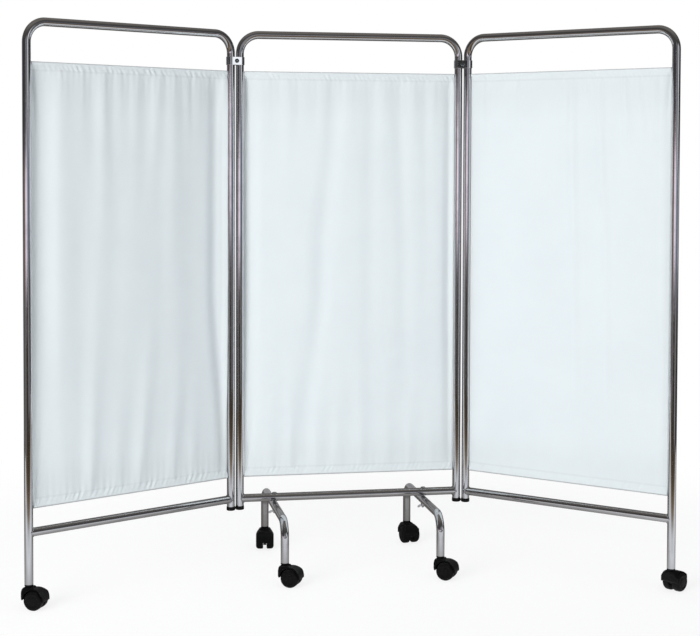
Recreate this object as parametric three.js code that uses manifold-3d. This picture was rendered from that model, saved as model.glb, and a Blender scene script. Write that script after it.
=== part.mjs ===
// Ward privacy screen on wheels: three chrome tube frames, each holding a gathered fabric curtain,
// joined by tube clamps so that the side frames fold. Millimetres, +Z up, the viewer on the -Y side.
import * as THREE from 'three';
import { mergeVertices } from 'three/addons/utils/BufferGeometryUtils.js';
import Module from 'manifold-3d';

const wasm = await Module();
wasm.setup();

// Driving sizes of the frames
const tubeDiameter = 25.4;
const tubeWall = 1.2;
const frameWidth = 708; // between the centre lines of a frame's two posts
const railHeight = 1687; // centre line of the top rail
const railBend = 60; // centre line radius of the top corners
const crossbarHeight = 220; // centre line of the lower crossbar
const innerPostDrop = 23; // from the crossbar's centre line to the foot of the posts beside another frame
const leftAngle = 29; // degrees that the left frame is turned forward
const rightAngle = 44; // degrees that the right frame is turned forward
const postGap = 4.6; // between two neighbouring posts
const fitGap = 0.3; // play between pieces that touch
const holeGap = 0.45; // play between a pin and the corners of its hole
const overrun = 2; // how far a cutting shape runs past what it cuts

// Driving sizes of the bow legs
const legInset = 111; // from a post of the centre frame to the leg beside it
const legReach = 240; // from the frame's plane to a leg's wheel stem
const legBend = 50; // centre line radius of a leg's bends
const legBoltRadius = 4;
const legBoltHeadRadius = 9;
const legBoltHeadHeight = 4.5;
const wingNutRadius = 7;
const wingNutHeight = 9;
const wingLength = 13;
const wingThickness = 2.4;
const wingHeight = 12;
const legBoltTail = 4; // thread that shows under the wing nut

// Driving sizes of the tube clamps that hinge the frames
const clampHeight = 25;
const clampDrop = 83; // from the top rail's centre line to the clamps' middle
const clampThickness = 1.8;
const clampPlay = 0.5;
const clampSplit = 1.2; // gap between a clamp's two halves
const clampBoltRadius = 2;
const clampBoltHeadRadius = 7;
const clampBoltHeadHeight = 4;

// Driving sizes of the moulded links under the inner posts
const linkFlangeRadius = 13.7;
const linkFlangeHeight = 12;
const linkWebWidth = 12;
const linkWebHeight = 4;
const linkPlugRadius = 10.2;
const linkPlugLength = 24;

// Driving sizes of the twin wheel casters
const wheelRadius = 29;
const wheelWidth = 24;
const wheelBoreDepth = 16;
const wheelHubRadius = 13;
const wheelDish = 1.5;
const wheelEdge = 7;
const casterTrail = 22; // from the stem's axis to the axle
const webThickness = 10; // middle wall of the hood, between the wheels
const wheelSideGap = 0.7;
const hoodGap = 1.3;
const hoodThickness = 2.7;
const hoodTopHeight = 65;
const hoodBossRadius = 14;
const hoodChamfer = 5;
const hoodFrontFoot = 34; // lower edge of the hood's front block
const hoodShoulder = 46; // height at which the hood starts to narrow
const hoodTipDrop = 2;
const hoodTipLength = 24; // how far ahead of its tip the hood starts to narrow
const hoodTipInset = 9; // how much the hood narrows there on each side
const webFoot = 14;
const webFootHalf = 8;
const axleRadius = 3;
const stemRadius = 4;
const stemDepth = 18;
const collarHeight = 5.4;
const plugLength = 30;
// Degrees from +X to the way each caster trails
const trailAngles = {
  front_left: -28,
  rear_left: -97,
  front_right: -33,
  rear_right: -79,
  outer_left: -25,
  outer_right: 35,
};

// Driving sizes of the curtains and their rods
const curtainDrop = 114; // from the top rail's centre line to the top of the curtains
const curtainRise = 68; // from the crossbar's centre line to the foot of the curtains
const curtainSideGap = 1.5; // between the cloth and a post
const clothThickness = 1.6;
const topPocket = 25; // height of the rod pocket at the top
const footPocket = 28; // height of the rod pocket at the bottom
const pocketHalfThickness = 4.2;
const pocketWall = 1;
const rodRadius = 2.5;
const rodInsert = 7; // how far a rod's end reaches into the post

// Counts
const tubeSides = 16;
const boreSides = 8;
const bendSteps = 6;
const wheelSides = 16;
const hoodArcSteps = 9;
const smallSides = 8;
const pocketArcSteps = 3;
const clothColumns = 26;
const clothRows = 6;

// Sizes that follow from the driving ones
const tubeRadius = tubeDiameter / 2;
const postSpacing = tubeDiameter + postGap; // between the axes of two neighbouring posts
const boreRadius = tubeRadius - tubeWall;
const hoodRadius = wheelRadius + hoodGap + hoodThickness;
const axleHeight = wheelRadius * Math.cos(Math.PI / wheelSides);
const hoodHalfWidth = webThickness / 2 + wheelSideGap + wheelWidth;
const collarFoot = hoodTopHeight + fitGap;
const casterPostFoot = collarFoot + collarHeight + fitGap;
const legArmHeight = crossbarHeight - tubeDiameter - fitGap;
const legPlace = frameWidth / 2 - legInset; // from the middle of the centre frame to a leg
const innerPostFoot = crossbarHeight - innerPostDrop;
const clampPlace = railHeight - clampDrop; // height of the clamps' middle
const curtainTop = railHeight - curtainDrop;
const curtainFoot = crossbarHeight + curtainRise;
const topRodHeight = curtainTop - pocketHalfThickness;
const footRodHeight = curtainFoot + pocketHalfThickness;

const chrome = new THREE.MeshStandardMaterial({ color: 0xc9cdd1, metalness: 1, roughness: 0.12 });
const cloth = new THREE.MeshStandardMaterial({ color: 0xe3eaef, metalness: 0, roughness: 0.85 });
const blackPlastic = new THREE.MeshStandardMaterial({ color: 0x141516, metalness: 0, roughness: 0.5 });
const zincSteel = new THREE.MeshStandardMaterial({ color: 0xa9acaf, metalness: 1, roughness: 0.35 });

// Helpers for shapes and for cutting and joining them
function named(name, geometry, material) {
  const mesh = new THREE.Mesh(geometry, material);
  mesh.name = name;
  return mesh;
}

function toSolid(geometry) {
  const bare = geometry.clone();
  bare.deleteAttribute('normal');
  bare.deleteAttribute('uv');
  const merged = mergeVertices(bare, fitGap / 1000);
  return new wasm.Manifold(new wasm.Mesh({
    numProp: 3,
    vertProperties: new Float32Array(merged.attributes.position.array),
    triVerts: new Uint32Array(merged.index.array),
  }));
}

function toGeometry(solid) {
  const mesh = solid.getMesh();
  const geometry = new THREE.BufferGeometry();
  geometry.setAttribute('position', new THREE.BufferAttribute(new Float32Array(mesh.vertProperties), 3));
  geometry.setIndex(new THREE.BufferAttribute(new Uint32Array(mesh.triVerts), 1));
  geometry.computeVertexNormals();
  return geometry;
}

function cut(geometry, cutters) {
  return toGeometry(cutters.reduce((body, cutter) => body.subtract(toSolid(cutter)), toSolid(geometry)));
}

function join(geometries) {
  return toGeometry(geometries.map(toSolid).reduce((body, other) => body.add(other)));
}

function ring(radius, sides) {
  const phase = Math.PI / sides;
  return Array.from({ length: sides }, (_, i) => {
    const angle = phase + (i * 2 * Math.PI) / sides;
    return new THREE.Vector2(radius * Math.cos(angle), radius * Math.sin(angle));
  });
}

// A round bar along Z, from its foot up
function bar(radius, length, sides, foot = 0) {
  const shape = new THREE.Shape(ring(radius, sides));
  return new THREE.ExtrudeGeometry(shape, { depth: length, bevelEnabled: false }).translate(0, 0, foot);
}

function turned(profile, sides) {
  const points = profile.map(([radius, height]) => new THREE.Vector2(radius, height));
  return new THREE.LatheGeometry(points, sides, Math.PI / sides).rotateX(Math.PI / 2);
}

// A bent tube's centre line: straight runs have a station at each end, bends one every few degrees
class BentLine extends THREE.Curve {
  constructor(stations) {
    super();
    this.stations = stations;
  }

  at(share) {
    return this.stations[Math.round(share * (this.stations.length - 1))];
  }

  getPoint(share) {
    return this.at(share).point.clone();
  }

  getPointAt(share) {
    return this.getPoint(share);
  }

  getTangent(share) {
    return this.at(share).tangent.clone();
  }

  getTangentAt(share) {
    return this.getTangent(share);
  }
}

// An arch in the XZ plane: up one side, a rounded corner, across, a rounded corner and down again
function archLine(width, top, bend, startFoot, endFoot) {
  const stations = [{ point: new THREE.Vector3(0, 0, startFoot), tangent: new THREE.Vector3(0, 0, 1) }];
  const addBend = (centreX, startAngle) => {
    for (let i = 0; i <= bendSteps; i += 1) {
      const angle = startAngle - (i / bendSteps) * (Math.PI / 2);
      const outward = new THREE.Vector3(Math.cos(angle), 0, Math.sin(angle));
      const point = new THREE.Vector3(centreX, 0, top - bend).addScaledVector(outward, bend);
      stations.push({ point, tangent: new THREE.Vector3(Math.sin(angle), 0, -Math.cos(angle)) });
    }
  };
  addBend(bend, Math.PI);
  addBend(width - bend, Math.PI / 2);
  stations.push({ point: new THREE.Vector3(width, 0, endFoot), tangent: new THREE.Vector3(0, 0, -1) });
  return new BentLine(stations);
}

function tubeSection() {
  const section = new THREE.Shape(ring(tubeRadius, tubeSides));
  section.holes.push(new THREE.Path(ring(boreRadius, boreSides).reverse()));
  return section;
}

function bentTube(line) {
  return new THREE.ExtrudeGeometry(tubeSection(), {
    extrudePath: line,
    steps: line.stations.length - 1,
    bevelEnabled: false,
  });
}

// Top rail and two posts in one bent tube, with holes in the posts for the curtain rods
function frameTube(startFoot, endFoot) {
  const holeRadius = rodRadius + holeGap;
  const holeLength = tubeRadius + overrun;
  const holes = [topRodHeight, footRodHeight].flatMap((height) => [
    bar(holeRadius, holeLength, smallSides).rotateY(Math.PI / 2).translate(0, 0, height),
    bar(holeRadius, holeLength, smallSides).rotateY(-Math.PI / 2).translate(frameWidth, 0, height),
  ]);
  return cut(bentTube(archLine(frameWidth, railHeight, railBend, startFoot, endFoot)), holes);
}

// Lower crossbar, its ends hollowed to fit round the posts
function crossbar(boltPlaces) {
  const tube = new THREE.ExtrudeGeometry(tubeSection(), { depth: frameWidth, bevelEnabled: false });
  tube.rotateY(Math.PI / 2);
  const cope = tubeDiameter + overrun;
  const posts = [0, frameWidth].map((place) =>
    bar(tubeRadius + fitGap, 2 * cope, tubeSides).translate(place, 0, -cope));
  const bolts = boltPlaces.map((place) =>
    bar(legBoltRadius + holeGap, 2 * cope, smallSides).translate(place, 0, -cope));
  return cut(tube, [...posts, ...bolts]).translate(0, 0, crossbarHeight);
}

function curtainRod(height) {
  const reach = tubeRadius - rodInsert;
  const length = frameWidth - 2 * reach;
  return bar(rodRadius, length, smallSides).rotateY(Math.PI / 2).translate(reach, 0, height);
}

// The folds of each curtain. A fold runs from a share of the width at the top to another at the foot,
// stands forward or back by its depth, and is full at one end and gone at the other.
// Each line: width share at the top, at the foot, half width share, where it is full, where it ends, depth.
const deepFold = 11;
const middleFold = 7;
const lightFold = 4.5;
const leftFoldShares = [
  [0.97, 0.93, 0.03, 0, 0.42, deepFold],
  [0.88, 0.87, 0.05, 0, 0.7, -middleFold],
  [0.63, 0.61, 0.035, 0, 0.55, lightFold],
  [0.47, 0.49, 0.035, 0, 0.6, middleFold],
  [0.35, 0.45, 0.035, 0, 0.6, lightFold],
  [0.23, 0.22, 0.03, 0, 0.45, lightFold],
  [0.05, 0.09, 0.03, 0, 0.5, -middleFold],
  [0.72, 0.7, 0.03, 1, 0.5, lightFold],
  [0.47, 0.58, 0.035, 1, 0.45, middleFold],
  [0.3, 0.35, 0.03, 1, 0.5, lightFold],
  [0.26, 0.03, 0.035, 1, 0.55, deepFold],
];
const centreFoldShares = [
  [0.07, 0.1, 0.035, 0, 0.6, -middleFold],
  [0.2, 0.21, 0.04, 0, 0.5, lightFold],
  [0.4, 0.42, 0.035, 0, 0.55, middleFold],
  [0.57, 0.56, 0.035, 0, 0.5, lightFold],
  [0.71, 0.7, 0.035, 0, 0.5, lightFold],
  [0.95, 0.93, 0.03, 0, 0.5, middleFold],
  [0.3, 0.28, 0.035, 1, 0.6, middleFold],
  [0.55, 0.6, 0.04, 1, 0.5, lightFold],
  [0.8, 0.88, 0.04, 1, 0.5, lightFold],
];
const rightFoldShares = [
  [0.05, 0.06, 0.03, 0, 0.5, middleFold],
  [0.3, 0.31, 0.04, 0, 0.6, lightFold],
  [0.55, 0.56, 0.035, 0, 0.7, -lightFold],
  [0.7, 0.69, 0.035, 0, 0.7, -lightFold],
  [0.95, 0.88, 0.04, 0, 0.45, middleFold],
  [0.2, 0.12, 0.04, 1, 0.5, lightFold],
  [0.6, 0.62, 0.04, 1, 0.5, lightFold],
];
const hemFoldShare = 0.3; // how much of a fold's depth is left at the rod pockets

function foldDepth(folds, acrossShare, downShare) {
  const hem = Math.sin(Math.PI * downShare);
  const hemShare = hemFoldShare + (1 - hemFoldShare) * Math.min(1, 2 * hem);
  return folds.reduce((sum, [topShare, footShare, widthShare, fullShare, endShare, depth]) => {
    const middleShare = topShare + (footShare - topShare) * downShare;
    const fade = Math.max(0, 1 - Math.abs(downShare - fullShare) / Math.abs(endShare - fullShare));
    const across = (acrossShare - middleShare) / widthShare;
    return sum + depth * hemShare * Math.sqrt(fade) * Math.exp(-across * across);
  }, 0);
}

// The half ring of points over a pocket's closed end, in the plane across the rod
function pocketEnd(radius, middle, way) {
  const points = [];
  for (let i = 0; i <= pocketArcSteps; i += 1) {
    const angle = (i / pocketArcSteps) * Math.PI;
    points.push(new THREE.Vector2(-way * radius * Math.cos(angle), middle + way * radius * Math.sin(angle)));
  }
  return points;
}

// The curtain's outline in the plane across the rods: up the front face of the cloth, over the top
// pocket, down the back face and round the lower pocket
function clothOutline(folds, acrossShare) {
  const topNeck = curtainTop - topPocket;
  const footNeck = curtainFoot + footPocket;
  const side = pocketHalfThickness;
  const face = (way) => Array.from({ length: clothRows + 1 }, (_, row) => {
    const downShare = way > 0 ? row / clothRows : 1 - row / clothRows;
    const depth = foldDepth(folds, acrossShare, downShare) + (way * clothThickness) / 2;
    return new THREE.Vector2(depth, topNeck + (footNeck - topNeck) * downShare);
  });
  return [
    ...face(-1),
    new THREE.Vector2(-side, topNeck + side),
    ...pocketEnd(side, curtainTop - side, 1),
    new THREE.Vector2(side, topNeck + side),
    ...face(1),
    new THREE.Vector2(side, footNeck - side),
    ...pocketEnd(side, curtainFoot + side, -1),
    new THREE.Vector2(-side, footNeck - side),
  ];
}

// The room for a rod inside a pocket
function rodRoom(height) {
  return ring(pocketHalfThickness - pocketWall, smallSides)
    .reverse()
    .map((point) => new THREE.Vector2(point.x, height + point.y));
}

// A curtain of hanging cloth with a real thickness, drawn from outline to outline across its width
function curtain(folds) {
  const start = tubeRadius + curtainSideGap;
  const width = frameWidth - 2 * start;
  const rooms = [rodRoom(topRodHeight), rodRoom(footRodHeight)];
  const corners = [];
  const index = [];
  const addRing = (outline, acrossShare) => {
    const first = corners.length / 3;
    outline.forEach((point) => corners.push(start + width * acrossShare, point.x, point.y));
    return first;
  };
  const bridge = (from, to, count) => {
    for (let i = 0; i < count; i += 1) {
      const next = (i + 1) % count;
      index.push(from + i, from + next, to + next, from + i, to + next, to + i);
    }
  };
  const outlines = Array.from({ length: clothColumns + 1 }, (_, i) => clothOutline(folds, i / clothColumns));
  const rings = outlines.map((outline, i) => addRing(outline, i / clothColumns));
  rings.slice(1).forEach((ringStart, i) => bridge(ringStart, rings[i], outlines[0].length));
  const roomRings = rooms.map((room) => [addRing(room, 0), addRing(room, 1)]);
  roomRings.forEach(([left, right], i) => bridge(left, right, rooms[i].length));
  const topEnd = clothRows + 1 + pocketArcSteps + 3;
  const count = outlines[0].length;
  const hems = [
    Array.from({ length: topEnd - clothRows + 1 }, (_, i) => clothRows + i),
    Array.from({ length: topEnd - clothRows + 1 }, (_, i) => (topEnd + clothRows + i) % count),
  ];
  [0, 1].forEach((end) => {
    const outline = outlines[end * clothColumns];
    const base = rings[end * clothColumns];
    const addFace = (a, b, c) => index.push(...(end ? [a, b, c] : [a, c, b]));
    for (let row = 0; row < clothRows; row += 1) {
      const front = base + row;
      const back = base + topEnd + clothRows - row;
      addFace(front, back, back - 1);
      addFace(front, back - 1, front + 1);
    }
    hems.forEach((hem, i) => {
      const places = [...hem.map((k) => base + k), ...rooms[i].map((_, k) => roomRings[i][end] + k)];
      THREE.ShapeUtils.triangulateShape(hem.map((k) => outline[k]), [rooms[i].slice()])
        .forEach((face) => addFace(...face.map((k) => places[k])));
    });
  });
  const body = new THREE.BufferGeometry();
  body.setAttribute('position', new THREE.Float32BufferAttribute(corners, 3));
  body.setIndex(index);
  return body;
}

// A whole frame, its first post on the group's Z axis
function screenFrame(side, startFoot, endFoot, folds, boltPlaces) {
  const frame = new THREE.Group();
  frame.add(named(`frame_tube_${side}`, frameTube(startFoot, endFoot), chrome));
  frame.add(named(`crossbar_${side}`, crossbar(boltPlaces), chrome));
  frame.add(named(`curtain_rod_top_${side}`, curtainRod(topRodHeight), zincSteel));
  frame.add(named(`curtain_rod_foot_${side}`, curtainRod(footRodHeight), zincSteel));
  frame.add(named(`curtain_${side}`, curtain(folds), cloth));
  return frame;
}

// Twin wheel caster, its stem on the group's Z axis and its wheels trailing towards +X
function casterHood() {
  const across = hoodHalfWidth * 2;
  const tip = Math.asin(-hoodTipDrop / hoodRadius);
  const bossEnd = Math.PI - Math.acos((casterTrail - hoodBossRadius) / hoodRadius);
  const side = new THREE.Shape();
  side.absarc(casterTrail, axleHeight, hoodRadius, tip, bossEnd, false);
  side.lineTo(hoodBossRadius, hoodTopHeight);
  side.lineTo(hoodChamfer - hoodBossRadius, hoodTopHeight);
  side.lineTo(-hoodBossRadius, hoodTopHeight - hoodChamfer);
  side.lineTo(-hoodBossRadius, hoodFrontFoot);
  side.lineTo(casterTrail - webFootHalf, webFoot);
  side.lineTo(casterTrail + webFootHalf, webFoot);
  const body = new THREE.ExtrudeGeometry(side, { depth: across, bevelEnabled: false, curveSegments: hoodArcSteps });
  body.rotateX(Math.PI / 2).translate(0, across / 2, 0);

  const taper = new THREE.Shape([
    new THREE.Vector2(-hoodHalfWidth, 0),
    new THREE.Vector2(hoodHalfWidth, 0),
    new THREE.Vector2(hoodHalfWidth, hoodShoulder),
    new THREE.Vector2(hoodBossRadius, hoodTopHeight + fitGap),
    new THREE.Vector2(-hoodBossRadius, hoodTopHeight + fitGap),
    new THREE.Vector2(-hoodHalfWidth, hoodShoulder),
  ]);
  const length = 2 * (casterTrail + hoodRadius);
  const envelope = new THREE.ExtrudeGeometry(taper, { depth: length, bevelEnabled: false });
  envelope.rotateX(Math.PI / 2).rotateZ(Math.PI / 2).translate(-length / 2, 0, 0);

  const pocketDepth = wheelWidth + wheelSideGap + overrun;
  const wheelRoom = [1, -1].map((way) =>
    bar(wheelRadius + hoodGap, pocketDepth, wheelSides, webThickness / 2)
      .rotateX((-way * Math.PI) / 2).translate(casterTrail, 0, axleHeight));
  const axleHole = bar(axleRadius + fitGap, across, smallSides, -hoodHalfWidth)
    .rotateX(Math.PI / 2).translate(casterTrail, 0, axleHeight);
  const stemHole = bar(stemRadius + holeGap, stemDepth + overrun, smallSides,
    hoodTopHeight - stemDepth - fitGap);
  const plan = new THREE.Shape();
  const tipReach = casterTrail + hoodRadius + fitGap;
  plan.moveTo(-hoodBossRadius - fitGap, -hoodHalfWidth - fitGap);
  plan.lineTo(tipReach - hoodTipLength, -hoodHalfWidth - fitGap);
  plan.lineTo(tipReach, hoodTipInset - hoodHalfWidth);
  plan.lineTo(tipReach, hoodHalfWidth - hoodTipInset);
  plan.lineTo(tipReach - hoodTipLength, hoodHalfWidth + fitGap);
  plan.lineTo(-hoodBossRadius - fitGap, hoodHalfWidth + fitGap);
  const footprint = new THREE.ExtrudeGeometry(plan, { depth: hoodTopHeight + overrun, bevelEnabled: false });
  const shell = [envelope, footprint].reduce((part, other) => part.intersect(toSolid(other)), toSolid(body));
  return cut(toGeometry(shell), [...wheelRoom, axleHole, stemHole]);
}

function casterStem() {
  const pinFoot = hoodTopHeight - stemDepth;
  const collarTop = collarFoot + collarHeight;
  return turned([
    [0, pinFoot],
    [stemRadius, pinFoot],
    [stemRadius, collarFoot],
    [tubeRadius, collarFoot],
    [tubeRadius, collarTop],
    [linkPlugRadius, collarTop],
    [linkPlugRadius, collarTop + plugLength],
    [0, collarTop + plugLength],
  ], boreSides);
}

function casterWheel() {
  return turned([
    [0, wheelBoreDepth],
    [axleRadius + fitGap, wheelBoreDepth],
    [axleRadius + fitGap, 0],
    [wheelRadius - wheelEdge / 2, 0],
    [wheelRadius, wheelEdge / 2],
    [wheelRadius, wheelWidth - wheelEdge],
    [wheelRadius - wheelEdge, wheelWidth],
    [wheelHubRadius, wheelWidth - wheelDish],
    [0, wheelWidth - wheelDish],
  ], wheelSides);
}

function caster(place, frameAngle) {
  const group = new THREE.Group();
  group.rotation.z = THREE.MathUtils.degToRad(trailAngles[place] - frameAngle);
  group.add(named(`caster_${place}_stem`, casterStem(), blackPlastic));
  group.add(named(`caster_${place}_hood`, casterHood(), blackPlastic));
  const axleHalf = webThickness / 2 + wheelSideGap + wheelBoreDepth - fitGap;
  const axle = named(`caster_${place}_axle`, bar(axleRadius, 2 * axleHalf, smallSides, -axleHalf), zincSteel);
  axle.rotation.x = Math.PI / 2;
  axle.position.set(casterTrail, 0, axleHeight);
  group.add(axle);
  [['left', 1], ['right', -1]].forEach(([hand, way]) => {
    const wheel = named(`caster_${place}_${hand}_wheel`, casterWheel(), blackPlastic);
    wheel.rotation.x = (-way * Math.PI) / 2;
    wheel.position.set(casterTrail, way * (webThickness / 2 + wheelSideGap), axleHeight);
    group.add(wheel);
  });
  return group;
}

// Bow leg: a tube arch that stands across the frame's plane, bolted up under the crossbar
function bowLeg(side) {
  const line = archLine(2 * legReach, legArmHeight, legBend, casterPostFoot, casterPostFoot);
  const cope = tubeDiameter + overrun;
  const hole = bar(legBoltRadius + holeGap, 2 * cope, smallSides)
    .translate(legReach, 0, legArmHeight - cope);
  const leg = cut(bentTube(line), [hole]).translate(-legReach, 0, 0).rotateZ(Math.PI / 2);
  return named(`bow_leg_${side}`, leg, chrome);
}

function legBolt(side) {
  const seat = crossbarHeight + tubeRadius + fitGap;
  const foot = legArmHeight - tubeRadius - fitGap - wingNutHeight - legBoltTail;
  return named(`leg_bolt_${side}`, turned([
    [0, foot],
    [legBoltRadius, foot],
    [legBoltRadius, seat],
    [legBoltHeadRadius, seat],
    [legBoltHeadRadius, seat + legBoltHeadHeight / 3],
    [legBoltRadius, seat + legBoltHeadHeight],
    [0, seat + legBoltHeadHeight],
  ], boreSides), zincSteel);
}

function wingNut(side) {
  const top = legArmHeight - tubeRadius - fitGap;
  const hub = bar(wingNutRadius, wingNutHeight, boreSides, top - wingNutHeight);
  const root = wingNutRadius / 2;
  const wings = [1, -1].map((way) => {
    const wing = new THREE.Shape([
      new THREE.Vector2(way * root, top - wingNutHeight),
      new THREE.Vector2(way * wingNutRadius, top - wingNutHeight),
      new THREE.Vector2(way * (wingNutRadius + wingLength), top - wingHeight),
      new THREE.Vector2(way * (wingNutRadius + wingLength), top - wingHeight / 2),
      new THREE.Vector2(way * wingNutRadius, top - wingThickness),
      new THREE.Vector2(way * root, top - wingThickness),
    ]);
    const plate = new THREE.ExtrudeGeometry(wing, { depth: wingThickness, bevelEnabled: false });
    return plate.rotateX(Math.PI / 2).translate(0, wingThickness / 2, 0);
  });
  const bore = bar(legBoltRadius + fitGap, wingNutHeight + 2 * overrun, boreSides,
    top - wingNutHeight - overrun);
  return named(`wing_nut_${side}`, cut(join([hub, ...wings]), [bore]), zincSteel);
}

// Tube clamp: two pressed halves round a pair of posts, drawn together by a bolt between them.
// The group's Z axis is the centre frame's post, and the other post stands at +X.
function clampHalfOutline() {
  const inner = tubeRadius + clampPlay;
  const outer = inner + clampThickness;
  const split = clampSplit / 2;
  const arc = (centre, radius, from, to) => {
    const points = [];
    for (let i = 0; i <= bendSteps; i += 1) {
      const angle = from + ((to - from) * i) / bendSteps;
      points.push(new THREE.Vector2(centre + radius * Math.cos(angle), radius * Math.sin(angle)));
    }
    return points;
  };
  const outerTilt = Math.asin(split / outer);
  const innerTilt = Math.asin(split / inner);
  return [
    ...arc(postSpacing, outer, outerTilt, Math.PI / 2),
    ...arc(0, outer, Math.PI / 2, Math.PI - outerTilt),
    ...arc(0, inner, Math.PI - innerTilt, Math.PI / 2),
    ...arc(postSpacing, inner, Math.PI / 2, innerTilt),
  ];
}

function clampHalf() {
  const strap = new THREE.ExtrudeGeometry(new THREE.Shape(clampHalfOutline()),
    { depth: clampHeight, bevelEnabled: false }).translate(0, 0, clampPlace - clampHeight / 2);
  const hole = bar(clampBoltRadius + holeGap, 2 * tubeDiameter, smallSides)
    .rotateX(-Math.PI / 2).translate(postSpacing / 2, 0, clampPlace);
  return cut(strap, [hole]);
}

function clampBolt() {
  const seat = tubeRadius + clampPlay + clampThickness + fitGap;
  return turned([
    [0, -seat - clampBoltHeadHeight],
    [clampBoltHeadRadius, -seat - clampBoltHeadHeight],
    [clampBoltHeadRadius, -seat],
    [clampBoltRadius, -seat],
    [clampBoltRadius, seat],
    [clampBoltHeadRadius, seat],
    [clampBoltHeadRadius, seat + clampBoltHeadHeight],
    [clampBoltRadius, seat + clampBoltHeadHeight],
    [clampBoltRadius, seat + clampBoltHeadHeight + clampBoltRadius],
    [0, seat + clampBoltHeadHeight + clampBoltRadius],
  ], smallSides).rotateX(-Math.PI / 2).translate(postSpacing / 2, 0, clampPlace);
}

// Moulded link under two neighbouring posts: a flanged plug in each tube, joined by a web
function postLink() {
  const flangeFoot = innerPostFoot - fitGap - linkFlangeHeight;
  const pieces = [0, postSpacing].flatMap((place) => [
    bar(linkFlangeRadius, linkFlangeHeight, tubeSides, flangeFoot).translate(place, 0, 0),
    bar(linkPlugRadius, linkFlangeHeight + linkPlugLength, boreSides, flangeFoot).translate(place, 0, 0),
  ]);
  const web = new THREE.BoxGeometry(postSpacing, linkWebWidth, linkWebHeight);
  web.translate(postSpacing / 2, 0, flangeFoot + linkFlangeHeight / 2);
  return join([...pieces, web]);
}

function postHinge(side) {
  const hinge = new THREE.Group();
  const front = side === 'left' ? 1 : -1;
  [['front', front], ['rear', -front]].forEach(([face, way]) => {
    const half = named(`hinge_clamp_${face}_${side}`, clampHalf(), chrome);
    if (way < 0) {
      half.rotation.z = Math.PI;
      half.position.x = postSpacing;
    }
    hinge.add(half);
  });
  const bolt = clampBolt();
  if (front > 0) bolt.rotateZ(Math.PI).translate(postSpacing, 0, 0);
  hinge.add(named(`hinge_bolt_${side}`, bolt, zincSteel));
  hinge.add(named(`post_link_${side}`, postLink(), blackPlastic));
  return hinge;
}

// The screen: a centre frame on its bow legs, and a side frame hinged at each end
const screen = new THREE.Group();
const centre = new THREE.Group();
centre.position.x = -frameWidth / 2;
const boltPlaces = [legInset, frameWidth - legInset];
centre.add(screenFrame('centre', innerPostFoot, innerPostFoot, centreFoldShares, boltPlaces));
screen.add(centre);

[['left', -1], ['right', 1]].forEach(([side, way]) => {
  const base = new THREE.Group();
  base.position.x = way * legPlace;
  base.add(bowLeg(side), legBolt(side), wingNut(side));
  [['front', -1], ['rear', 1]].forEach(([end, toRear]) => {
    const place = `${end}_${side}`;
    const wheels = caster(place, 0);
    wheels.position.y = toRear * legReach;
    base.add(wheels);
  });
  screen.add(base);
});

function sideFrame(side, baseAngle, turn, folds) {
  const hinge = new THREE.Group();
  hinge.position.x = side === 'left' ? -frameWidth / 2 : frameWidth / 2;
  hinge.rotation.z = THREE.MathUtils.degToRad(baseAngle + turn / 2);
  hinge.add(postHinge(side));
  const panel = screenFrame(side, innerPostFoot, casterPostFoot, folds, []);
  panel.position.x = postSpacing;
  panel.rotation.z = THREE.MathUtils.degToRad(turn / 2);
  const wheels = caster(`outer_${side}`, baseAngle + turn);
  wheels.position.x = frameWidth;
  panel.add(wheels);
  hinge.add(panel);
  return hinge;
}

screen.add(sideFrame('left', 180, leftAngle, leftFoldShares));
screen.add(sideFrame('right', 0, -rightAngle, rightFoldShares));

// The origin is on the floor, under the middle of the whole screen
screen.updateMatrixWorld(true);
const extent = new THREE.Box3().setFromObject(screen, true);
const middle = extent.getCenter(new THREE.Vector3());
screen.position.set(-middle.x, -middle.y, -extent.min.z);

export default screen;
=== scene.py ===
import math
import random

import bmesh
import bpy
import numpy as np
from mathutils import Matrix, Vector


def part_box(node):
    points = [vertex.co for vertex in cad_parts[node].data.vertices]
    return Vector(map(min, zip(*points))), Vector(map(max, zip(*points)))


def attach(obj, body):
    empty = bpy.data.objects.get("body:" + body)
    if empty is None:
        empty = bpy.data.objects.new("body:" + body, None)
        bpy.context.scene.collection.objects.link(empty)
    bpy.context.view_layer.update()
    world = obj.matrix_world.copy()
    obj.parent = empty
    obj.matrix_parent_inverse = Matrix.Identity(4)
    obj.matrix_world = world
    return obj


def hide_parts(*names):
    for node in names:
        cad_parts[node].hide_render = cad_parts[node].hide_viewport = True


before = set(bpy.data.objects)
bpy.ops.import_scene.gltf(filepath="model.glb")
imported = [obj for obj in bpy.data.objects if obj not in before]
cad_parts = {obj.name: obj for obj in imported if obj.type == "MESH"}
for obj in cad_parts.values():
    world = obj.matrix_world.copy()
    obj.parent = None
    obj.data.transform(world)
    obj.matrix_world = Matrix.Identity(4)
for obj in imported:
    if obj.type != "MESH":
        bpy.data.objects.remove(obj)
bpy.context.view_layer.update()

scene = bpy.context.scene
scene.view_settings.view_transform = "Standard"

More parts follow.
